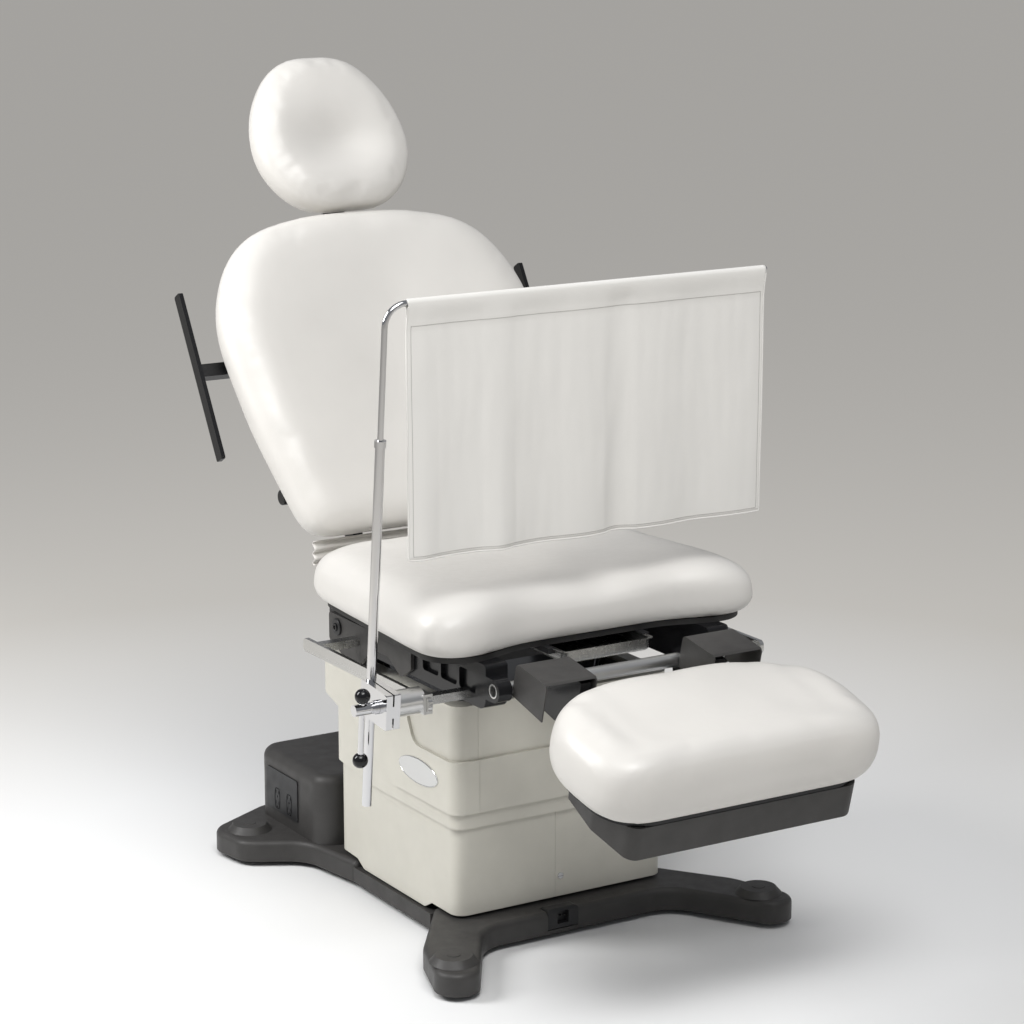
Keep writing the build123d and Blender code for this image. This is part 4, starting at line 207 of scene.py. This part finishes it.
vinyl = leather("vinyl", (0.69, 0.67, 0.635), 900.0, 0.16, 0.36)
flap_vinyl = leather("flap_vinyl", (0.66, 0.64, 0.605), 900.0, 0.16, 0.42)
cream = moulding("cream_cover", (0.62, 0.60, 0.53), 0.36, 700.0, 0.05, 0.02)
charcoal = moulding("charcoal_plastic", (0.046, 0.044, 0.042), 0.46, 1100.0, 0.45, 0.10)
technical = moulding("black_plastic", (0.020, 0.020, 0.021), 0.42, 900.0, 0.20, 0.10)
knob_black = moulding("gloss_black", (0.008, 0.008, 0.009), 0.08, 200.0, 0.01, 0.05)
rubber = moulding("foot_rubber", (0.022, 0.022, 0.022), 0.75, 500.0, 0.40, 0.10)
board = moulding("backing_board", (0.030, 0.029, 0.028), 0.60, 300.0, 0.25, 0.10)
black = paint("black_paint", (0.010, 0.010, 0.011), 0.26)
steel = brushed("rail_steel", (0.62, 0.62, 0.61), 0.26, (1.0, 0.04, 1.0))
aluminium = brushed("column_aluminium", (0.70, 0.70, 0.69), 0.30, (0.04, 1.0, 1.0))
plate = brushed("badge_metal", (0.72, 0.72, 0.71), 0.34, (1.0, 0.05, 1.0))
bright = chrome("bright_chrome", (0.68, 0.68, 0.69))
drape_cloth = cloth("drape_cloth", (0.80, 0.785, 0.75))
thread = moulding("thread", (0.30, 0.29, 0.27), 0.7, 900.0, 0.2)

by_slot = {
    "vinyl": vinyl, "cream_cover": cream, "charcoal_plastic": charcoal, "black_plastic": technical,
    "gloss_black": knob_black, "foot_rubber": rubber, "backing_board": board, "black_paint": black,
    "rail_steel": steel, "column_aluminium": aluminium, "bright_chrome": bright, "drape_cloth": drape_cloth,
}
for entry in frame["record"]["subparts"]:
    node = nodes.get(entry["node"])
    if node is None:
        continue
    node.data.materials.clear()
    node.data.materials.append(by_slot[entry["material_slot"]])
nodes["badge_plate"].data.materials[0] = plate


# Meshes
def add_mesh(name, points, faces, material, smooth=True):
    data = bpy.data.meshes.new(name)
    data.from_pydata([tuple(p) for p in points], [], faces)
    data.validate()
    piece = bpy.data.objects.new(name, data)
    scene.collection.objects.link(piece)
    data.materials.append(material)
    if smooth:
        data.shade_smooth()
    return piece


def subdivided(piece, levels):
    modifier = piece.modifiers.new("subdivision", "SUBSURF")
    modifier.levels = levels
    modifier.render_levels = levels


def thickened(piece):
    """Gives a sheet the thickness of its cloth."""
    modifier = piece.modifiers.new("thickness", "SOLIDIFY")
    modifier.thickness = 0.0014
    return modifier


def applied(piece, modifier):
    with bpy.context.temp_override(object=piece, active_object=piece):
        bpy.ops.object.modifier_apply(modifier=modifier.name)


def softened(corners):
    """A corner without a radius gets almost the largest one that its sides allow."""
    soft = []
    for index, (x, y, radius) in enumerate(corners):
        before = Vector(corners[index - 1][:2])
        after = Vector(corners[(index + 1) % len(corners)][:2])
        into = Vector((x, y)) - before
        onward = after - Vector((x, y))
        reach = 0.49 * min(into.length, onward.length)
        soft.append((x, y, radius or reach / math.tan(into.angle(onward) / 2)))
    return soft


def mirrored(corners):
    return list(corners) + [(-x, y, radius) for x, y, radius in reversed(corners)]


def sampled(corners, count):
    """Evenly spaced points round an outline with rounded corners, gently evened out."""
    arc_steps = 16
    evening_rounds = 6
    path = []
    for index, (x, y, radius) in enumerate(corners):
        corner = Vector((x, y))
        into = (corner - Vector(corners[index - 1][:2])).normalized()
        onward = (Vector(corners[(index + 1) % len(corners)][:2]) - corner).normalized()
        turn = into.angle(onward)
        reach = radius * math.tan(turn / 2)
        start = corner - into * reach
        end = corner + onward * reach
        for step in range(arc_steps + 1):
            share = step / arc_steps
            low = start.lerp(corner, share)
            high = corner.lerp(end, share)
            path.append(low.lerp(high, share))
    path.append(path[0])
    lengths = [0.0]
    for a, b in zip(path, path[1:]):
        lengths.append(lengths[-1] + (b - a).length)
    points = []
    place = 0
    for step in range(count):
        goal = lengths[-1] * step / count
        while lengths[place + 1] < goal:
            place += 1
        span = lengths[place + 1] - lengths[place] or 1.0
        points.append(path[place].lerp(path[place + 1], (goal - lengths[place]) / span))
    for _ in range(evening_rounds):
        points = [
            (points[i - 1] + points[i] * 2 + points[(i + 1) % count]) / 4 for i in range(count)
        ]
    return points


def smoothstep(low, high, value):
    share = min(1.0, max(0.0, (value - low) / (high - low)))
    return share * share * (3 - 2 * share)


def bell(value, width):
    return math.exp(-(value / width) ** 2)


def uneven(x, y, grain, layer):
    """Slow noise over a pad, at each layer another."""
    return noise.noise(Vector((x * grain, y * grain, layer)))


def band(ring, count):
    """Faces between one closed ring of points and the next."""
    faces = []
    for i in range(count):
        a = ring * count + i
        b = ring * count + (i + 1) % count
        faces.append((a, b, b + count, a + count))
    return faces


def pad_rings(waist, bottom_share, sharpness):
    """Share of the outline and level, from the underside, round the side and in over the top."""
    side_steps = 8
    shoulder_steps = 13
    crown_steps = 17
    side_low = 0.01
    rings = [(0.03, 0.0), (0.3, 0.0), (0.6, 0.0), (0.8, 0.0)]
    rings += [(bottom_share - 0.05, 0.0), (bottom_share - 0.012, 0.002)]
    for step in range(1, side_steps):
        rise = step / side_steps
        share = bottom_share + (1 - bottom_share) * math.sin(math.pi / 2 * rise) ** 0.8
        rings.append((share, side_low + (waist - side_low) * rise))
    for step in range(shoulder_steps):
        rise = math.sin(math.pi / 2 * step / shoulder_steps)
        rings.append(((1 - rise ** 2.5) ** sharpness, waist + (1 - waist) * rise))
    last = rings[-1][0]
    for step in range(1, crown_steps):
        share = last * (1 - step / crown_steps)
        rings.append((share, waist + (1 - waist) * (1 - share ** (1 / sharpness)) ** 0.4))
    return rings


def pad(name, origin, x_dir, y_dir, up, corners, middle, height, waist, bottom_share, sharpness, press):
    """A crowned closed cushion on an outline, with its top pressed into shape."""
    outline_points = 168
    edge = sampled(corners, outline_points)
    rings = pad_rings(waist, bottom_share, sharpness)
    points = []
    for share, level in rings:
        for at in edge:
            x = middle[0] + (at.x - middle[0]) * share
            y = middle[1] + (at.y - middle[1]) * share
            x, y, z = press(x, y, level, height * level)
            points.append((origin + x_dir * x + y_dir * y + up * z + shift) * mm)
    count = len(edge)
    faces = []
    for ring in range(len(rings) - 1):
        faces += band(ring, count)
    faces.append(tuple(reversed(range(count))))
    faces.append(tuple(range((len(rings) - 1) * count, len(rings) * count)))
    return add_mesh(name, points, faces, vinyl)


def swelled(piece, origin, up, height, cap=0.004, voxel=0.008):
    """Blows the pad up as cloth; no point moves past the cap, and the underside stays flat."""
    frames = 20
    bpy.context.view_layer.objects.active = piece
    remesh = piece.modifiers.new("remesh", "REMESH")
    remesh.mode = "VOXEL"
    remesh.voxel_size = voxel
    applied(piece, remesh)
    rest = [v.co.copy() for v in piece.data.vertices]
    sim = piece.modifiers.new("cloth", "CLOTH")
    sim.settings.quality = 5
    sim.settings.use_pressure = True
    sim.settings.uniform_pressure_force = 4.0
    sim.settings.effector_weights.gravity = 0.0
    sim.point_cache.frame_start = 1
    sim.point_cache.frame_end = frames
    for step in range(1, frames + 1):
        scene.frame_set(step)
    shaped = piece.evaluated_get(bpy.context.evaluated_depsgraph_get())
    moved = [v.co.copy() for v in shaped.data.vertices]
    piece.modifiers.remove(sim)
    scene.frame_set(1)
    foot_point = (origin + shift) * mm
    for vertex, before, after in zip(piece.data.vertices, rest, moved):
        step = after - before
        level = (before - foot_point).dot(up) / (height * mm)
        limit = cap * smoothstep(0.08, 0.5, level)
        if step.length > limit:
            step = step.normalized() * limit
        vertex.co = before + step
    smooth = piece.modifiers.new("smooth", "SMOOTH")
    smooth.factor = 0.5
    smooth.iterations = 4
    applied(piece, smooth)
    piece.data.materials.clear()
    piece.data.materials.append(vinyl)
    piece.data.shade_smooth()


# Pads: outlines, places, widths and depths in millimetres, in each pad's own plane
across = Vector((1, 0, 0))
rearward = Vector((0, 1, 0))
upward = Vector((0, 0, 1))

# Seat cushion: dished, with two front lobes and a dip between them
seat_base = Vector((0, 0, 681.0))
seat_height = 109.0


def press_seat(x, y, level, z):
    hollow_depth = 18.0
    dip_depth = 16.0
    lobe_rise = 2.5
    unevenness = 1.2
    top = smoothstep(0.35, 1.0, level)
    z -= top * hollow_depth * bell(x, 240) * bell(y - 20, 200)
    z -= top * dip_depth * bell(x, 125) * smoothstep(-180, -380, y)
    z += top * lobe_rise * (bell(abs(x) - 300, 90) * bell(y + 250, 120))
    z += top * unevenness * uneven(x, y, 0.012, 3.1)
    return x, y, z


seat = pad(
    "seat_pad", seat_base, across, rearward, upward,
    mirrored([(190, -368, 250), (300, -405, 120), (418, -405, 85), (374, 272, 140)]),
    (0.0, -66.5), seat_height, 0.34, 0.955, 0.088, press_seat,
)

# Back and headrest lean back together from one origin
lean = math.radians(30.5)
back_up = Vector((0, math.sin(lean), math.cos(lean)))
back_out = Vector((0, -math.cos(lean), math.sin(lean)))
back_origin = Vector((0, 280, 740))
back_height = 98.0
back_base = back_origin - back_out * (back_height / 2)
head_height = 88.0
head_base = back_origin - back_out * (head_height / 2)


# Back cushion: broad hollow between side rolls, softly creased above the seat
def press_back(x, y, level, z):
    hollow_depth = 23.0
    roll_rise = 3.0
    roll_slope = 0.06
    crease_depth = 3.0
    unevenness = 2.2
    top = smoothstep(0.5, 1.0, level)
    z -= top * hollow_depth * bell(x, 195) * bell(y - 400, 320)
    z += top * roll_rise * bell(abs(x) - 290 - (y - 300) * roll_slope, 60) * bell(y - 380, 260)
    z -= top * crease_depth * bell(y - 150, 60) * bell(x, 260)
    z += top * unevenness * uneven(x, y, 0.009, 8.4)
    return x, y, z


back = pad(
    "back_pad", back_base, across, back_up, back_out,
    softened(mirrored([(318, 48, 50), (384, 320, 600), (416, 585, 0), (318, 765, 0), (140, 812, 0)])),
    (0.0, 430.0), back_height, 0.5, 0.94, 0.087, press_back,
)


# Headrest: a hollow for the head above a rounded neck roll
def press_head(x, y, level, z):
    hollow_depth = 25.0
    neck_rise = 4.0
    unevenness = 1.2
    top = smoothstep(0.45, 1.0, level)
    z -= top * hollow_depth * bell(x, 98) * bell(y - 974, 64)
    z += top * neck_rise * bell(y - 895, 42) * bell(x, 150)
    z += top * unevenness * uneven(x, y, 0.014, 1.7)
    return x, y, z


head = pad(
    "headrest_pad", head_base, across, back_up, back_out,
    softened(mirrored([(120, 815, 0), (207, 931.4, 0), (190, 1078.84, 0), (97, 1203, 0)])),
    (0.0, 1009.0), head_height, 0.5, 0.90, 0.125, press_head,
)

# Foot cushion: a flat hollow inside a raised front ridge and side rolls
slope = math.radians(14.0)
foot_rear = Vector((0, math.cos(slope), math.sin(slope)))
foot_up = Vector((0, -math.sin(slope), math.cos(slope)))
foot_height = 142.0
foot_base = Vector((0, -605, 690)) - foot_up * foot_height


def press_foot(x, y, level, z):
    hollow_depth = 17.0
    hollow_half_width = 238
    hollow_length = 292
    groove_depth = 5.0
    unevenness = 1.4
    top = smoothstep(0.6, 1.0, level)
    inside = 1 / (1 + (abs(x) / hollow_half_width) ** 9)
    inside = inside * 1 / (1 + (max(0.0, -y + 10) / hollow_length) ** 12)
    z -= top * hollow_depth * inside
    z -= top * groove_depth * bell(abs(x) - 245, 26) * smoothstep(-20, -90, y) * smoothstep(-330, -270, y)
    z += top * unevenness * uneven(x, y, 0.011, 5.2)
    return x, y, z


foot = pad(
    "foot_pad", foot_base, across, foot_rear, foot_up,
    softened(mirrored([(200, 8, 0), (350, -110, 0), (340, -362, 105)])),
    (0.0, -181.0), foot_height, 0.42, 0.93, 0.093, press_foot,
)

swelled(seat, seat_base, upward, seat_height)
swelled(back, back_base, back_out, back_height)
swelled(head, head_base, back_out, head_height)
swelled(foot, foot_base, foot_up, foot_height)
for piece, node, body, fill in (
    (seat, "seat_cushion", "seat", 0.85), (back, "back_cushion", "back", 0.85),
    (head, "headrest_cushion", "headrest", 0.9), (foot, "foot_cushion", "foot_section", 0.9),
):
    subdivided(piece, 1)
    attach(piece, body)
    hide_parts(node)

# Fabric flap: a pleated band from the back's lower edge down to the seat frame
flap_low, flap_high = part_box("fabric_flap")
flap_points = []
flap_columns = 96
flap_rows = 44
flap_middle = (flap_low.y + flap_high.y) / 2
flap_forward = 0.004
pleats = 5.0
pleat_depth = 0.0055
pleat_spread = 0.002
tuck_depth = 0.004
tuck_share = 0.04
sag_depth = 0.0015
for row in range(flap_rows + 1):
    down = row / flap_rows
    for column in range(flap_columns + 1):
        over = column / flap_columns
        x = flap_low.x + (flap_high.x - flap_low.x) * over
        drift = noise.noise(Vector((x * 9.0, 0.0, 2.0)))
        pleat = math.sin(down * math.pi * pleats + drift * 0.8) * (pleat_depth + pleat_spread * drift)
        pleat *= 1 - 0.4 * bell(over - 0.5, 0.2)
        tuck = -tuck_depth * bell(over, tuck_share) - tuck_depth * bell(over - 1.0, tuck_share)
        y = flap_middle - flap_forward + pleat + tuck
        sag = sag_depth * noise.noise(Vector((x * 14.0, down * 3.0, 0.0)))
        z = flap_high.z - (flap_high.z - flap_low.z) * down + sag
        flap_points.append((x, y, z))
flap_faces = []
for row in range(flap_rows):
    for column in range(flap_columns):
        a = row * (flap_columns + 1) + column
        flap_faces.append((a, a + 1, a + flap_columns + 2, a + flap_columns + 1))
flap = add_mesh("pleated_flap", flap_points, flap_faces, flap_vinyl)
thickened(flap)
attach(flap, "back")
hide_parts("fabric_flap")

# Drape: a sleeve round the rod, a stitched heading and a panel in uneven folds
rod_z = 1.4104
rod_y = -0.3569
drape_left = -0.3929
drape_right = 0.4621
drape_width = drape_right - drape_left
sleeve = 0.0078
stitch_z = 1.3643
hem_z = 0.8953
fold_shares = (0.0, 0.13, 0.26, 0.37, 0.46, 0.58, 0.71, 0.80, 0.92, 1.0)
fold_depths = (6.0, 8.0, 6.0, 22.0, 9.0, 8.0, 16.0, 7.0, 10.0)
fold_scale = 0.85
heading_share = 0.22
ripple_depth = 0.0012
pucker_depth = 0.0012
hem_drift = 0.004
sleeve_rear = 0.0016
sleeve_front_gap = 0.0012


def fold_at(x, z):
    """How far the cloth stands to the rear of its plane: folds in turn, wider towards the hem."""
    along = (drape_right - x) / drape_width
    place = 0
    while place < len(fold_depths) - 1 and fold_shares[place + 1] < along:
        place += 1
    inside = (along - fold_shares[place]) / (fold_shares[place + 1] - fold_shares[place])
    side = 1 if place % 2 else -1
    bow = math.sin(math.pi * min(1.0, max(0.0, inside))) * fold_depths[place] * mm * side
    fall = smoothstep(0.0, 1.0, (stitch_z - z) / (stitch_z - hem_z) * 0.55 + 0.10)
    share = heading_share + (1 - heading_share) * fall
    ripple = ripple_depth * noise.noise(Vector((x * 7.0, z * 3.0, 4.0)))
    return bow * share * fold_scale + ripple


drape_columns = 190
rise_rows = 5
turn_rows = 12
fall_rows = 6
panel_rows = 60
profile = []
for step in range(rise_rows):
    profile.append((sleeve_rear, stitch_z + (rod_z - stitch_z) * step / rise_rows))
for step in range(turn_rows + 1):
    turn = math.pi * step / turn_rows
    profile.append((math.cos(turn) * sleeve, rod_z + math.sin(turn) * sleeve))
fall_start = len(profile)
for step in range(1, fall_rows + 1):
    depth = -sleeve + (sleeve - sleeve_front_gap) * smoothstep(0, 1, step / fall_rows)
    profile.append((depth, rod_z + (stitch_z - rod_z) * step / fall_rows))
for step in range(1, panel_rows + 1):
    profile.append((0.0, stitch_z + (hem_z - stitch_z) * step / panel_rows))
drape_points = []
for depth, z in profile:
    opening = smoothstep(rod_z, stitch_z, z)
    for column in range(drape_columns + 1):
        x = drape_left + drape_width * column / drape_columns
        pucker = pucker_depth * opening * noise.noise(Vector((x * 40.0, z * 8.0, 9.0)))
        side = hem_drift * smoothstep(stitch_z, hem_z, z) * (1 - 2 * column / drape_columns)
        y = rod_y + depth + fold_at(x, min(z, stitch_z)) * opening + pucker
        drape_points.append((x + side * 0.5, y, z))
drape_faces = []
for row in range(len(profile) - 1):
    for column in range(drape_columns):
        a = row * (drape_columns + 1) + column
        drape_faces.append((a, a + drape_columns + 1, a + drape_columns + 2, a + 1))
drape = add_mesh("drape_sheet", drape_points, drape_faces, drape_cloth)
thickened(drape).offset = 0.0


def tube(name, paths, radius, material, cyclic=False):
    """Round trim along one or more runs of points."""
    data = bpy.data.curves.new(name, "CURVE")
    data.dimensions = "3D"
    data.bevel_depth = radius
    data.bevel_resolution = 3
    data.use_fill_caps = True
    for run in paths:
        line = data.splines.new("POLY")
        line.points.add(len(run) - 1)
        for point, co in zip(line.points, run):
            point.co = (*co, 1.0)
        line.use_cyclic_u = cyclic
    piece = bpy.data.objects.new(name, data)
    scene.collection.objects.link(piece)
    data.materials.append(material)
    return piece


def on_drape(column, row, forward=0.0):
    x, y, z = drape_points[row * (drape_columns + 1) + column]
    return (x, y - forward, z)


# Piping round the drape's three free edges, and thread along its heading, sides and hem
front_row = fall_start + fall_rows - 1
last_row = len(profile) - 1
piping_radius = 0.0019
thread_radius = 0.00045
thread_forward = 0.0011
seam_inset = 2
piping = tube("drape_piping", [
    [on_drape(0, row) for row in range(fall_start, last_row + 1)]
    + [on_drape(column, last_row) for column in range(1, drape_columns + 1)]
    + [on_drape(drape_columns, row) for row in range(last_row - 1, fall_start - 1, -1)]
], piping_radius, drape_cloth)


def stitched_along(row):
    """One stitch to a column of the drape, along a row."""
    runs = []
    for column in range(seam_inset, drape_columns - seam_inset):
        a = Vector(on_drape(column, row, thread_forward))
        b = Vector(on_drape(column + 1, row, thread_forward))
        runs.append([a, a.lerp(b, 0.62)])
    return runs


stitches = stitched_along(front_row)
for side in (seam_inset, drape_columns - seam_inset):
    for row in range(front_row, last_row - 1):
        a = Vector(on_drape(side, row, thread_forward))
        b = Vector(on_drape(side, row + 1, thread_forward))
        stitches.append([a, a.lerp(b, 0.3)])
        stitches.append([a.lerp(b, 0.5), a.lerp(b, 0.8)])
stitches += stitched_along(last_row - 1)
seam = tube("drape_stitches", stitches, thread_radius, thread)
for piece in (drape, piping, seam):
    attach(piece, "rod")
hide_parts("drape")


# Small hardware
def oval_run(x, y, z, half_y, half_z, steps, squareness=1.0):
    """Points round an oval across x, with its top and bottom cut flat where squareness passes 1."""
    run = []
    for step in range(steps):
        turn = 2 * math.pi * step / steps
        bend = max(-1.0, min(1.0, math.sin(turn) * squareness))
        run.append((x, y + half_y * math.cos(turn), z + half_z * bend))
    return run


badge_low, badge_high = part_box("badge_plate")
badge_middle = (badge_low + badge_high) / 2
badge_inset = 0.0014
badge_run = oval_run(
    badge_low.x + 0.0008, badge_middle.y, badge_middle.z,
    (badge_high.y - badge_low.y) / 2 - badge_inset, (badge_high.z - badge_low.z) / 2 - badge_inset, 72,
)
rim = tube("badge_rim", [badge_run], 0.0012, bright, True)
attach(rim, "carriage")

outlet_low, outlet_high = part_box("outlets")
outlet_x = outlet_low.x - 0.0002
outlet_z = (outlet_low.z + outlet_high.z) / 2
outlet_width = 0.026
outlet_inset = 0.0010
outlet_half_y = outlet_width / 2 - outlet_inset
outlet_half_z = (outlet_high.z - outlet_low.z) / 2 - outlet_inset
outlet_runs = []
for outlet_y in (outlet_low.y + outlet_width / 2, outlet_high.y - outlet_width / 2):
    outlet_runs.append(oval_run(outlet_x, outlet_y, outlet_z, outlet_half_y, outlet_half_z, 64, 1.25))
outlet_rims = tube("outlet_rims", outlet_runs, 0.0009, knob_black, True)
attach(outlet_rims, "base")


def socket_screw(name, centre, normal, up, radius, height, material):
    """A round screw head with a bevelled edge and a hexagon socket."""
    side = normal.cross(up).normalized()
    up = side.cross(normal).normalized()
    count = 36
    half_side = math.pi / 6
    head_levels = [(1.0, 0.0), (1.0, 0.72), (0.97, 0.9), (0.90, 1.0)]
    socket_levels = [(0.60, 1.0), (0.56, 0.98), (0.54, 0.45)]
    floor_level = (0.02, 0.40)
    levels = head_levels + socket_levels + [floor_level]
    points = []
    for index, (share, level) in enumerate(levels):
        hexagon = len(head_levels) <= index < len(levels) - 1
        for step in range(count):
            turn = 2 * math.pi * step / count
            reach = radius * share
            if hexagon:
                inner = (turn + half_side) % (math.pi / 3) - half_side
                reach = radius * share * math.cos(half_side) / math.cos(inner)
            spoke = side * math.cos(turn) + up * math.sin(turn)
            points.append(centre + spoke * reach + normal * (height * level))
    faces = []
    for ring in range(len(levels) - 1):
        faces += band(ring, count)
    faces.append(tuple(range((len(levels) - 1) * count, len(levels) * count)))
    piece = add_mesh(name, points, faces, material)
    piece.data.set_sharp_from_angle(angle=math.radians(40))
    return piece


cap_low, cap_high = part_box("pivot_caps")
bolt_sunk = 0.001
bolt_radius = 0.009
bolt_height = 0.004
for name, x, normal in (
    ("pivot_bolt_right", cap_low.x, Vector((-1, 0, 0))),
    ("pivot_bolt_left", cap_high.x, Vector((1, 0, 0))),
):
    bolt = socket_screw(
        name, Vector((x, (cap_low.y + cap_high.y) / 2, (cap_low.z + cap_high.z) / 2)) - normal * bolt_sunk,
        normal, Vector((0, 0, 1)), bolt_radius, bolt_height, black,
    )
    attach(bolt, "seat")

# Shading of the carried-over solids: smooth faces with crisp edges
for node in nodes.values():
    node.data.shade_smooth()
    node.data.set_sharp_from_angle(angle=math.radians(32))


# Floor, light and camera
def painted_pool_floor_material():
    """White floor with painted light: a bright pool round the chair that fades to warm grey a few steps
    away, the grey standing for the backdrop's own tone and the fade for painted fall-off of light.
    """
    material, tree, shader, place = new_material("floor_painted_light_pool", (0.8, 0.8, 0.8), 0.85, Specular_IOR_Level=0.1)
    reach = tree.nodes.new("ShaderNodeVectorMath")
    reach.operation = "LENGTH"
    tree.links.new(place, reach.inputs[0])
    # Painted light: white near the chair turning to warm grey farther out, a painted pool of light round
    # the chair
    painted_falloff = ranged(tree, reach.outputs["Value"], 0.0, 1.0, 1.1, 2.7)
    tree.links.new(mixed(tree, painted_falloff, (0.80, 0.80, 0.795), (0.67, 0.645, 0.60)), shader.inputs["Base Color"])
    return material


floor_radii = (4.0, 12.0, 70.0)
floor_sectors = 96
floor_points = [(0.0, 0.0, 0.0)]
for radius in floor_radii:
    for step in range(floor_sectors):
        turn = 2 * math.pi * step / floor_sectors
        floor_points.append((radius * math.cos(turn), radius * math.sin(turn), 0.0))
floor_faces = []
for step in range(floor_sectors):
    onward = (step + 1) % floor_sectors
    floor_faces.append((0, 1 + step, 1 + onward))
    for ring in range(len(floor_radii) - 1):
        a = 1 + ring * floor_sectors + step
        b = 1 + ring * floor_sectors + onward
        floor_faces.append((a, a + floor_sectors, b + floor_sectors, b))
floor = add_mesh("floor", floor_points, floor_faces, painted_pool_floor_material(), False)


def area_light(name, place, target, size, power):
    data = bpy.data.lights.new(name, "AREA")
    data.shape = "RECTANGLE"
    data.size, data.size_y = size
    data.energy = power
    lamp = bpy.data.objects.new(name, data)
    scene.collection.objects.link(lamp)
    lamp.location = place
    lamp.rotation_euler = (Vector(target) - Vector(place)).to_track_quat("-Z", "Y").to_euler()


# The camera's heading turns the lights too
heading = math.radians(31.51)
ahead = Vector((math.sin(heading), math.cos(heading), 0))
aside = Vector((math.cos(heading), -math.sin(heading), 0))
middle = Vector((0.0, 0.0, 0.9))
key_place = middle - aside * 2.9 - ahead * 0.5 + Vector((0, 0, 1.8))
key_size = (1.1, 1.8)
key_power = 92.0
area_light("key", key_place, middle, key_size, key_power)
front_place = middle + aside * 0.5 - ahead * 2.7 + Vector((0, 0, 3.3))
front_size = (2.2, 1.4)
front_power = 78.0
area_light("front", front_place, middle, front_size, front_power)
overhead_data = bpy.data.lights.new("overhead", "SUN")
overhead_data.energy = 1.15
overhead_data.angle = math.radians(50)
overhead = bpy.data.objects.new("overhead", overhead_data)
scene.collection.objects.link(overhead)
overhead.rotation_euler = Vector((0.15, 0.45, -1.0)).to_track_quat("-Z", "Y").to_euler()
world = bpy.data.worlds.new("world")
scene.world = world
world.use_nodes = True
sky = world.node_tree.nodes["Background"]
sky.inputs["Color"].default_value = (0.93, 0.95, 1.0, 1.0)
sky.inputs["Strength"].default_value = 0.25

focal_pixels = 2995.2
frame_pixels = 1024
sensor_width = 36.0
camera_place = Vector((-3273.07, -5366.32, 2336.65))
pitch = math.radians(13.16)
camera_data = bpy.data.cameras.new("camera")
camera_data.sensor_width = sensor_width
camera_data.lens = focal_pixels / frame_pixels * sensor_width
camera_data.clip_end = 100.0
camera = bpy.data.objects.new("camera", camera_data)
scene.collection.objects.link(camera)
camera.location = (camera_place + shift) * mm
gaze = ahead * math.cos(pitch) - Vector((0, 0, math.sin(pitch)))
camera.rotation_euler = gaze.to_track_quat("-Z", "Y").to_euler()
scene.camera = camera
